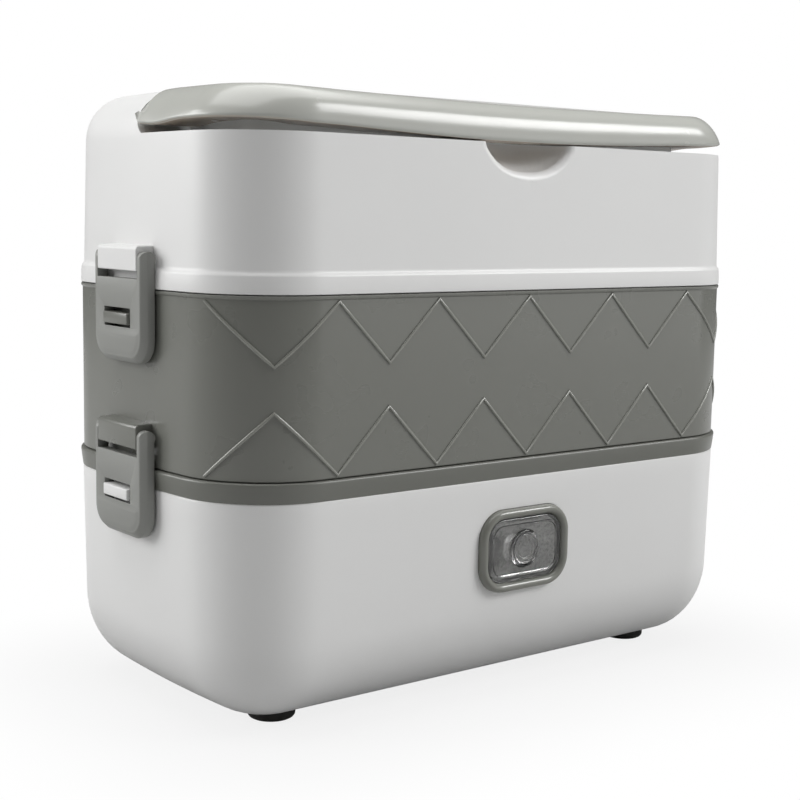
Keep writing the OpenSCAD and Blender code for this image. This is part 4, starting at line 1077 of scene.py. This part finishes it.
for label, pz, dx in (("upper", UP_Z, 0.0), ("lower", LOW_Z, LOW_DX)):
    for side, s in (("left", -1), ("right", 1)):
        latch = latch_body(s, PIVOT_X + dx, pz, f"{label}_{side}_latch_plate")
        place(latch, f"{label}_{side}_latch", "latch_plastic", f"latch_{label}_{side}")

# %% [markdown]
# ## Button surround and inlet frame
# Two grey mouldings of the same size sit in the front and back walls. Each is a ring with a
# rounded nose and a sleeve that goes through the wall. Its closed profile is carried round a
# rounded rectangle, and the sleeve's back plate closes down to the round hole for the stem.

# %% Surround
def circle_loop(r, like):
    """A circle with its points at the angles of the loop like, so the two can be skinned."""
    t = np.arctan2(like[:, 1], like[:, 0])
    return np.column_stack([r * np.cos(t), r * np.sin(t)])


WIN_W, WIN_H = 34.4, 22.6
nose = [(0.0, -10.0), (0.0, 1.1), (0.1, 1.65), (0.4, 2.2), (0.9, 2.6), (1.55, 2.78), (2.15, 2.66),
        (2.65, 2.28), (3.0, 1.7), (3.15, 1.0), (3.15, 0.0), (1.2, 0.0), (1.2, -12.0)]
rings = [(p, round_loop(WIN_W + 2 * d, WIN_H + 2 * d, 7 + d)) for d, p in nose]
shape = round_loop(WIN_W, WIN_H, 7)
rings += [(-12.0, circle_loop(3.4, shape)), (-10.0, circle_loop(3.4, shape))]
v, f = skin(rings, closed=True)
surround = mesh_object("button_surround_ring", to_front(v, -FRONT_Y, PANEL_Z), f, trim_abs, 40)
cut(surround, [tool_rod("y", -52, -47, 1.6, 10, PANEL_Z - 6, 20)])
place(surround, "base", "grey_trim", "button_surround")

# %% [markdown]
# ## Power button
# The button is a clear cap with a raised border, two raised rings and a plain generic on mark
# in its middle. It travels 1.5 mm with the grained plunger behind it, which is what shows
# through. The spring behind them moves with the button too.

# %% Power button
cap_shape = round_loop(WIN_W - 0.6, WIN_H - 0.6, 6.7)
ridge = [round_loop(WIN_W - 0.6 - 2 * d, WIN_H - 0.6 - 2 * d, 6.7 - d) for d in (1.9, 2.15, 2.4, 2.65)]
cap = [(-0.5, cap_shape * 0.985), (-0.35, cap_shape), (1.2, cap_shape), (1.5, cap_shape * 0.99),
       (1.6, cap_shape * 0.975), (1.6, ridge[0]), (1.95, ridge[1]), (1.95, ridge[2]), (1.45, ridge[3])]
for k in (0.8, 0.6):
    cap.append((1.45, ridge[3] * k * 0.5 + circle_loop(10.6 * k, cap_shape) * 0.5))
cap += [(1.45, circle_loop(6.9, cap_shape)), (1.85, circle_loop(6.6, cap_shape)),
        (2.0, circle_loop(6.35, cap_shape)), (1.9, circle_loop(6.05, cap_shape)),
        (1.45, circle_loop(5.8, cap_shape))]
cap += [(1.45, circle_loop(5.45, cap_shape)), (1.75, circle_loop(5.25, cap_shape)),
        (1.82, circle_loop(5.1, cap_shape)), (1.75, circle_loop(4.95, cap_shape)),
        (1.45, circle_loop(4.75, cap_shape)), (1.45, circle_loop(1.5, cap_shape))]
v, f = skin(cap)
button = mesh_object("power_button_cap", to_front(v, -FRONT_Y, PANEL_Z), f, clear_pc, 30)
MARK_R, MARK_UP = 3.3, 1.66
mark = []
for a in np.linspace(math.radians(125), math.radians(415), 40):
    mark.append([MARK_R * math.cos(a), MARK_R * math.sin(a), MARK_UP])
arc_mark = path_mesh("on_mark_ring", to_front(np.array(mark), -FRONT_Y, PANEL_Z))
run_tree(arc_mark, sweep, sweep_ids, {"Width": 0.6 * MM, "Height": 0.6 * MM, "Material": clear_pc}, 60)
bar = np.array([[0, up, MARK_UP] for up in (0.6, 2.2, 4.0)])
bar_mark = path_mesh("on_mark_bar", to_front(bar, -FRONT_Y, PANEL_Z))
run_tree(bar_mark, sweep, sweep_ids, {"Width": 0.6 * MM, "Height": 0.6 * MM, "Material": clear_pc}, 60)
place(button, "button", "clear_button", "power_button")
for ob in (arc_mark, bar_mark):
    place(ob, "button", "clear_button")

plate_shape = round_loop(WIN_W - 3, WIN_H - 3, 5.5)
back_plate = [(-1.9, plate_shape * 0.98), (-1.7, plate_shape), (-0.62, plate_shape),
              (-0.52, plate_shape * 0.985)]
stem = [(z, circle_loop(r, plate_shape)) for z, r in ((-12.3, 2.6), (-12.1, 2.9), (-1.9, 2.9))]
v, f = skin(stem + back_plate)
plunger = mesh_object("button_plunger_plate", to_front(v, -FRONT_Y, PANEL_Z), f, frosted_grey, 35)
place(plunger, "button", "plunger_plastic", "button_plunger")

# %% Button spring
def spring_path(turns=3.5, r=4.6, y0=-FRONT_Y + 2.3, y1=-FRONT_Y + 9.4, per=28):
    """A helix about the button's axis, from the cap's back to the surround's plate."""
    t = np.linspace(0, 1, int(turns * per))
    a = 2 * np.pi * turns * t
    return np.column_stack([r * np.cos(a), y0 + (y1 - y0) * t, PANEL_Z + r * np.sin(a)])


spring = path_mesh("button_return_spring", spring_path())
run_tree(spring, sweep, sweep_ids, {"Width": 0.8 * MM, "Height": 0.8 * MM, "Material": screw_metal}, 60)
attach(spring, "button")
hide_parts("button_spring")
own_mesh(spring)
print("spring", len(spring.data.polygons), "faces")

# %% [markdown]
# ## Inlet
# The inlet at the back takes a figure-eight lead: a black insulator with two brass pins, held
# by two screws in a frame that matches the button's surround.

# %% Inlet frame
frame_profile = [(0.0, -7.0), (0.0, 2.0), (0.25, 2.55), (0.8, 2.8), (4.0, 2.8), (4.7, 2.6), (5.2, 2.05),
                 (5.4, 1.3), (5.4, 0.0), (3.6, 0.0), (3.6, -6.0)]
rings = [(p, round_loop(28 + 2 * d * 1.18, 18 + 2 * d, 5 + d)) for d, p in frame_profile]
rings.append((-6.0, round_loop(28.6, 18.6, 5.2)))
v, f = skin(rings[1:], closed=True)
inlet_frame = mesh_object("inlet_frame_ring", to_front(v, FRONT_Y, PANEL_Z, -1), f, trim_abs, 40)
INLET_SCREW_X = 16.6
bores = []
for s in (-1, 1):
    bores += [tool_rod("y", 50, 70, 1.3, s * INLET_SCREW_X, PANEL_Z, 20),
              tool_rod("y", FRONT_Y + 1.6, 70, 2.5, s * INLET_SCREW_X, PANEL_Z, 28)]
cut(inlet_frame, bores)
place(inlet_frame, "base", "grey_trim", "inlet_frame")

# %% [markdown]
# ## Screws and feet
# Screws and feet are the same small shape at several places, so Geometry Nodes set an
# instance on each point of a list. A screw is turned from one profile, with a cross-shaped
# recess cut into its head.

# %% Instance tree
def instance_tree():
    """Sets a turned copy of an object on each point."""
    t, ids, src = new_tree("set_on_points",
                           [("Shape", "NodeSocketObject", None), ("Turn", "NodeSocketVector", (0, 0, 0)),
                            ("Material", "NodeSocketMaterial", None)])
    pts = add(t, "GeometryNodeMeshToPoints", None, {"Mesh": src.outputs["Geometry"]})
    info = add(t, "GeometryNodeObjectInfo", {"transform_space": "ORIGINAL"}, {"Object": src.outputs["Shape"]})
    spin = add(t, "FunctionNodeEulerToRotation", None, {"Euler": src.outputs["Turn"]})
    inst = add(t, "GeometryNodeInstanceOnPoints", None,
               {"Points": pts.outputs["Points"], "Instance": info.outputs["Geometry"],
                "Rotation": spin.outputs[0]})
    real = add(t, "GeometryNodeRealizeInstances", None, {"Geometry": inst.outputs["Instances"]})
    made = add(t, "GeometryNodeSetMaterial", None,
               {"Geometry": real.outputs["Geometry"], "Material": src.outputs["Material"]})
    out = t.nodes.new("NodeGroupOutput")
    t.links.new(made.outputs["Geometry"], out.inputs["Geometry"])
    return t, ids


setter, setter_ids = instance_tree()


def turned(name, profile, material, sides=36, cross=0.0):
    """A shape turned on a lathe: profile is (radius, height) from bottom to top."""
    t = np.linspace(0, 2 * np.pi, sides, endpoint=False)
    circle = np.column_stack([np.cos(t), np.sin(t)])
    v, f = skin([(z, circle * r) for r, z in profile])
    ob = mesh_object(name, v, f, material, 35)
    if cross:
        z0 = profile[0][1] if cross > 0 else profile[-1][1]
        d = abs(cross)
        a, b = (z0 - 1, z0 + 0.6) if cross > 0 else (z0 - 0.6, z0 + 1)
        cut(ob, [tool_box(-d, d, -0.33, 0.33, a, b), tool_box(-0.33, 0.33, -d, d, a, b)])
    return ob


def set_on(name, shape, points, turn_xyz, material, angle=35):
    """One object with the shape on each of the points."""
    me = bpy.data.meshes.new(name)
    me.from_pydata((np.array(points, float) * MM).tolist(), [], [])
    ob = bpy.data.objects.new(name, me)
    bpy.context.scene.collection.objects.link(ob)
    run_tree(ob, setter, setter_ids, {"Shape": shape, "Turn": turn_xyz, "Material": material}, angle)
    me = shape.data
    bpy.data.objects.remove(shape)
    bpy.data.meshes.remove(me)
    return ob


def four(x, y, z=0.0):
    """The four places that mirror (x, y)."""
    return [(i * x, j * y, z) for i in (-1, 1) for j in (-1, 1)]


foot = turned("foot_shape", [(6.2, 0.0), (6.9, 0.12), (7.5, 0.45), (7.9, 1.0), (8.0, 1.6), (8.0, 5.6)],
              rubber, 48)
feet = set_on("rubber_feet", foot, four(FOOT_X, FOOT_Y), (0, 0, 0), rubber)
place(feet, "base", "foot_rubber", "feet")
screw = turned("cover_screw_shape", [(2.1, 0.0), (2.6, 0.15), (2.9, 0.5), (2.9, 1.0), (1.25, 1.02),
                                     (1.25, 9.4), (0.5, 10.0)], screw_metal, 28, 1.9)
screws = set_on("cover_screw_set", screw, four(COVER_SCREW_X, COVER_SCREW_Y, BASE_Z), (0, 0, 0), screw_metal)
place(screws, "base", "screw_steel", "cover_screws")
screw = turned("deck_screw_shape", [(2.1, -2.2), (2.6, -2.05), (2.9, -1.6), (2.9, 0.0), (1.25, 0.02),
                                    (1.25, 14.4), (0.5, 15.0)], screw_metal, 28, 1.9)
deck_screws = set_on("deck_screw_set", screw, four(DECK_SCREW_X, DECK_SCREW_Y, 20.0), (0, 0, 0), screw_metal)
place(deck_screws, "base", "screw_steel", "deck_screws")
screw = turned("inlet_screw_shape", [(0.5, -9.0), (1.2, -8.4), (1.2, 1.58), (2.4, 1.6), (2.4, 2.2),
                                     (2.1, 2.55), (1.6, 2.7)], screw_metal, 28, -1.6)
spots = [(s * INLET_SCREW_X, FRONT_Y, PANEL_Z) for s in (-1, 1)]
inlet_screws = set_on("inlet_screw_set", screw, spots, (-math.pi / 2, 0, 0), screw_metal)
place(inlet_screws, "base", "screw_steel", "inlet_screws")

# %% [markdown]
# ## Steel trays and their lids
# Four deep drawn trays stand inside, two on the heating plate and two on the tier's floor.
# Each is a pressed sheet with generous corner radii and a flat rim, closed by a milky lid
# with a stepped top, a finger tab and a small red vent plug over a silicone seal.

# %% Trays
TRAY_W, TRAY_D, TRAY_H, STEEL_T, TRAY_X = 98.0, 96.0, 50.0, 0.8, 50.4
LOWER_Z, UPPER_Z = 70.0, FLOOR_Z + WALL
RIM_H = TRAY_H - 3


def tray_at(d, r):
    """The tray's outline, d smaller, with corners of radius r."""
    return round_loop(TRAY_W - d, TRAY_D - d, r, 12, 4)


def tray_mesh():
    """A drawn tray: up the outside, over the rim and down the inside."""
    lev = [(0, tray_at(22, 12)), (0.25, tray_at(20.6, 12.4)), (1.2, tray_at(18.6, 13)),
           (2.8, tray_at(16.6, 14)), (5, tray_at(15, 15)), (20, tray_at(12.6, 15.8)),
           (RIM_H - 1.6, tray_at(8.2, 17)), (RIM_H - 1.0, tray_at(7, 17.2)),
           (RIM_H - 1.0, tray_at(2.3, 18.9)), (RIM_H - 0.5, tray_at(2.0, 19)), (RIM_H, tray_at(2.3, 18.9)),
           (RIM_H, tray_at(7.6, 16.6)), (RIM_H - 0.5, tray_at(8.6, 16.2)), (20, tray_at(14.2, 15)),
           (5.6, tray_at(16.6, 14)), (3.4, tray_at(18.2, 13)), (1.8, tray_at(20.2, 12)),
           (STEEL_T, tray_at(22.8, 11))]
    return skin(lev)


def tray_lid_mesh():
    """A tray's lid: a hanging edge, a raised border and a sunk middle."""
    h = RIM_H
    lev = [(h - 3, tray_at(1.4, 19.3)), (h - 3, tray_at(0.4, 19.8)), (h - 2.7, tray_at(0, 20)),
           (h + 1.8, tray_at(0, 20)), (h + 2.5, tray_at(0.9, 19.6)), (h + 2.9, tray_at(2.4, 18.9)),
           (h + 3, tray_at(4, 18)), (h + 3, tray_at(19.6, 13.2)), (h + 2.7, tray_at(20.6, 12.8)),
           (h + 2.0, tray_at(21.4, 12.4)), (h + 1.8, tray_at(22.4, 12)), (h + 1.8, tray_at(60, 6)),
           (h + 0.9, tray_at(60, 6)), (h + 0.9, tray_at(1.8, 19.2)), (h + 0.6, tray_at(1.4, 19.3))]
    v, f = skin(lev, closed=True)
    # the two innermost loops are closed by a face each, instead of being joined
    n = len(tray_at(0, 20))
    a, b = 11 * n, 12 * n
    f = drop_between(f, a, b, n)
    f += [tuple(a + i for i in range(n)), tuple(b + i for i in range(n - 1, -1, -1))]
    return v, f


def plug_seal_mesh():
    """The seal under a tray's lid, and the lid's vent plug."""
    h = RIM_H
    v, f = skin([(h, tray_at(2.6, 18.7)), (h + 0.45, tray_at(2.4, 18.8)), (h + 0.9, tray_at(2.7, 18.7)),
                 (h + 0.9, tray_at(8.8, 16.1)), (h + 0.5, tray_at(9.0, 16)), (h, tray_at(8.8, 16.1))],
                closed=True)
    t = np.linspace(0, 2 * np.pi, 28, endpoint=False)
    c = np.column_stack([np.cos(t), np.sin(t)])
    pv, pf = skin([(h + 0.2, c * 2.4), (h + 0.4, c * 2.6), (h + 2.1, c * 2.6), (h + 2.4, c * 2.2)])
    pv = pv + np.array([0, -TRAY_D / 4, 0])
    return np.vstack([v, pv]), list(f) + [tuple(k + len(v) for k in q) for q in pf]


tv, tf = tray_mesh()
lv, lf = tray_lid_mesh()
sv, sf = plug_seal_mesh()
for level, z, body in (("lower", LOWER_Z, "base"), ("upper", UPPER_Z, "tier")):
    both_v, both_f = [], []
    for side, s in (("left", -1), ("right", 1)):
        shift = np.array([s * TRAY_X, 0, z])
        tray = mesh_object(f"{level}_{side}_steel_tray", tv + shift, tf, steel, 50)
        place(tray, body, "tray_steel", f"{level}_tray_{side}")
        lid = mesh_object(f"{level}_{side}_tray_lid", lv + shift, lf, tray_lid_pp, 40)
        cut(lid, [tool_rod("z", z + RIM_H, z + RIM_H + 4, 2.62, s * TRAY_X, -TRAY_D / 4, 28)])
        x0 = s * TRAY_X
        tab = soften(tool_box(x0 - 9, x0 + 9, TRAY_D / 2 - 1.2, TRAY_D / 2 + 2.6, z + RIM_H - 1,
                              z + RIM_H + 0.8), 0.5, 3)
        tab.data.materials.clear()
        tab.data.materials.append(tray_lid_pp)
        cut(lid, [tab], "UNION")
        place(lid, body, "tray_lid_plastic", f"{level}_tray_lid_{side}")
        base_i = sum(len(q) for q in both_v)
        both_v.append(sv + shift)
        both_f += [tuple(k + base_i for k in q) for q in sf]
    seals = mesh_object(f"{level}_tray_seals", np.vstack(both_v), both_f, red_silicone, 50)
    place(seals, body, "seal_silicone", f"{level}_lid_seals")

# %% [markdown]
# ## Seals, wiring and the heater
# Two silicone rings seal the tier and the lid. The wires are soft tubes along smooth curves.
# The heater block, its clamp and the thermostat keep their CAD shapes and get real finishes.

# %% Seals
ring_seals = (("tier_seal_ring", "tier", "tier_seal", TIER_BOT + 0.1, RAIL_O, -5.9),
              ("lid_seal_ring", "lid", "lid_seal", LID_BOT + 0.1, -3.8, -6.0))
for name, body, node, z, oo, oi in ring_seals:
    prof = [(z, oo - 0.3), (z + 0.3, oo), (z + 2.6, oo), (z + 2.9, oo - 0.3), (z + 2.9, oi + 0.5),
            (z + 2.3, oi), (z + 1.6, oi + 0.25), (z + 0.9, oi), (z + 0.3, oi + 0.1), (z, oi + 0.4)]
    v, f = skin([(q, case_loop(w)) for q, w in prof], closed=True)
    place(mesh_object(name, v, f, silicone, 40), body, "seal_silicone", node)

# %% Wires
TAB_Z, PLATE_Z = 52.0, 69.0
LOW_RUN = PANEL_Z - 7
runs = {"wiring_live": (brown_pvc, "wire_brown",
                        [[(4.6, 37, PANEL_Z), (5, 30, LOW_RUN), (14, 8, LOW_RUN - 8),
                          (14, -20, LOW_RUN - 8), (7, -30, PANEL_Z - 4), (7, -36, PANEL_Z - 4)]]),
        "wiring_neutral": (blue_pvc, "wire_blue",
                           [[(-4.6, 37, PANEL_Z), (-5, 30, LOW_RUN), (-30, 16, LOW_RUN - 8),
                             (-64, 8, TAB_Z - 8), (-66, 4, TAB_Z)]]),
        "wiring_heater": (grey_rubber, "wire_sleeve",
                          [[(-66, -4, TAB_Z), (-60, -12, TAB_Z - 7), (20, -24, TAB_Z - 6),
                            (36, -26, PLATE_Z - 12), (28, -23, PLATE_Z - 4.5), (26, -18, PLATE_Z - 4.5)],
                           [(78, 0, PLATE_Z - 2.4), (82, -8, PLATE_Z - 10), (60, -30, PANEL_Z - 2),
                            (20, -33, PANEL_Z - 9), (-7, -31, PANEL_Z - 7), (-7, -36, PANEL_Z - 4)],
                           [(54, 0, PLATE_Z - 2.4), (53, 12, PLATE_Z - 7), (44, 14, PLATE_Z - 9),
                            (36, 12, PLATE_Z - 4.5), (32, 12, PLATE_Z - 4.5)]])}
for node, (material, slot_name, paths) in runs.items():
    for i, pts in enumerate(paths):
        wire = path_mesh(f"{node}_{i + 1}", catmull(pts, 8, False))
        run_tree(wire, sweep, sweep_ids, {"Width": 1.8 * MM, "Height": 1.8 * MM, "Material": material}, 60)
        if i == 0:
            place(wire, "base", slot_name, node)
        else:
            place(wire, "base", slot_name)

# %% Finishes for the pieces that keep their CAD shape
finishes = {"bottom_cover": cover_pp, "heating_plate": steel, "heater_block": alloy, "heater_clamp": strip,
            "clamp_nuts": screw_metal, "thermostat": black_pa, "thermal_fuse": sleeve_pp,
            "fuse_sleeve": sleeve_pp, "power_inlet": black_pa, "inlet_pins": brass, "switch_body": black_pa,
            "indicator_lamp": lamp_glass, "tier_latch_pins": screw_metal, "lid_latch_pins": screw_metal,
            "handle_pins": screw_metal}
for node, material in finishes.items():
    ob = NODES[node]
    ob.data.materials.clear()
    ob.data.materials.append(material)
print("finished", len(finishes), "CAD pieces")

# %% [markdown]
# ## Room and light
# A pale floor and soft studio light. The photograph's background is white, so the floor and
# the world look white to the camera, and the world also through clear plastic. For all other
# rays the world is dim and the floor is a plain pale grey, so this puts no more light on the
# box. A wide soft lamp at the left gives the bright left wall, and one at the right front the
# quieter front. A low, weak lamp beside that one lifts the front's lower part, and one above
# lights the lid and the handle.

# %% Floor
def floor_material():
    """White to the camera, a little darker near the box (real shadow and painted shade), pale to all other
    rays.
    """
    m, t = empty_material("pale_studio_floor")
    diffuse = add(t, "ShaderNodeBsdfDiffuse", None, {"Color": rgb("#c4c4c4"), "Roughness": 0.9})
    glow = add(t, "ShaderNodeEmission", None, {"Color": (1, 1, 1, 1), "Strength": 1.0})
    seen = add(t, "ShaderNodeLightPath")
    where = add(t, "ShaderNodeTexCoord")
    side = add(t, "ShaderNodeVectorMath", {"operation": "ABSOLUTE"}, {0: where.outputs["Object"]})
    past = add(t, "ShaderNodeVectorMath", {"operation": "SUBTRACT"},
               {0: side.outputs["Vector"], 1: (0.09, 0.04, 0.0)})
    out = add(t, "ShaderNodeVectorMath", {"operation": "MAXIMUM"},
              {0: past.outputs["Vector"], 1: (0.0, 0.0, 0.0)})
    far = add(t, "ShaderNodeVectorMath", {"operation": "LENGTH"}, {0: out.outputs["Vector"]})
    # Near the box the camera sees more of the lit floor: the box's real shadow, plus a painted shade band
    # round its outline.
    fade = add(t, "ShaderNodeMapRange", {"interpolation_type": "SMOOTHSTEP"},
               {"Value": far.outputs["Value"], "From Min": 0.0, "From Max": 0.1, "To Min": 0.84,
                "To Max": 1.0})
    share = add(t, "ShaderNodeMath", {"operation": "MULTIPLY"},
                {0: seen.outputs["Is Camera Ray"], 1: fade.outputs[0]})
    mix = add(t, "ShaderNodeMixShader", None,
              {0: share.outputs[0], 1: diffuse.outputs[0], 2: glow.outputs[0]})
    finish_material(t, mix)
    return m


size = 1.6
me = bpy.data.meshes.new("studio_floor")
me.from_pydata([(-size, -size, 0), (size, -size, 0), (size, size, 0), (-size, size, 0)], [], [(0, 1, 2, 3)])
me.materials.append(floor_material())
floor = bpy.data.objects.new("studio_floor", me)
bpy.context.scene.collection.objects.link(floor)
print("floor", 2 * size, "m wide")

# %% Lamps and world
def area(name, at, look, size_x, size_y, power):
    """A soft rectangular lamp of size_x by size_y metres and power watts, turned to a point."""
    data = bpy.data.lights.new(name, "AREA")
    data.shape = "RECTANGLE"
    data.size, data.size_y, data.energy = size_x, size_y, power
    ob = bpy.data.objects.new(name, data)
    ob.location = at
    ob.rotation_euler = (Vector(look) - Vector(at)).to_track_quat("-Z", "Y").to_euler()
    bpy.context.scene.collection.objects.link(ob)
    return ob


area("left_softbox", (-1.05, 0.80, 0.62), (0, 0, 0.1), 0.9, 0.8, 13.0)
area("front_softbox", (1.00, -0.92, 0.95), (0, 0, 0.1), 0.75, 0.6, 15.0)
area("front_card", (1.00, -1.05, 0.20), (0, 0, 0.1), 0.9, 0.40, 1.2)
area("top_softbox", (0.0, 0.10, 1.10), (0, 0, 0.1), 1.3, 0.9, 10.5)

world = bpy.data.worlds.new("studio")
bpy.context.scene.world = world
world.use_nodes = True
wt = world.node_tree
wt.nodes.clear()
path = add(wt, "ShaderNodeLightPath")
seen = add(wt, "ShaderNodeMath", {"operation": "MAXIMUM"},
           {0: path.outputs["Is Camera Ray"], 1: path.outputs["Is Transmission Ray"]})
level = add(wt, "ShaderNodeMapRange", None, {"Value": seen.outputs[0], "To Min": 0.12, "To Max": 1.0})
back = add(wt, "ShaderNodeBackground", None, {"Color": (1, 1, 1, 1), "Strength": level.outputs[0]})
add(wt, "ShaderNodeOutputWorld", None, {"Surface": back.outputs[0]})
bpy.context.scene.view_settings.view_transform = "Standard"
print("lamps", len(bpy.data.lights))
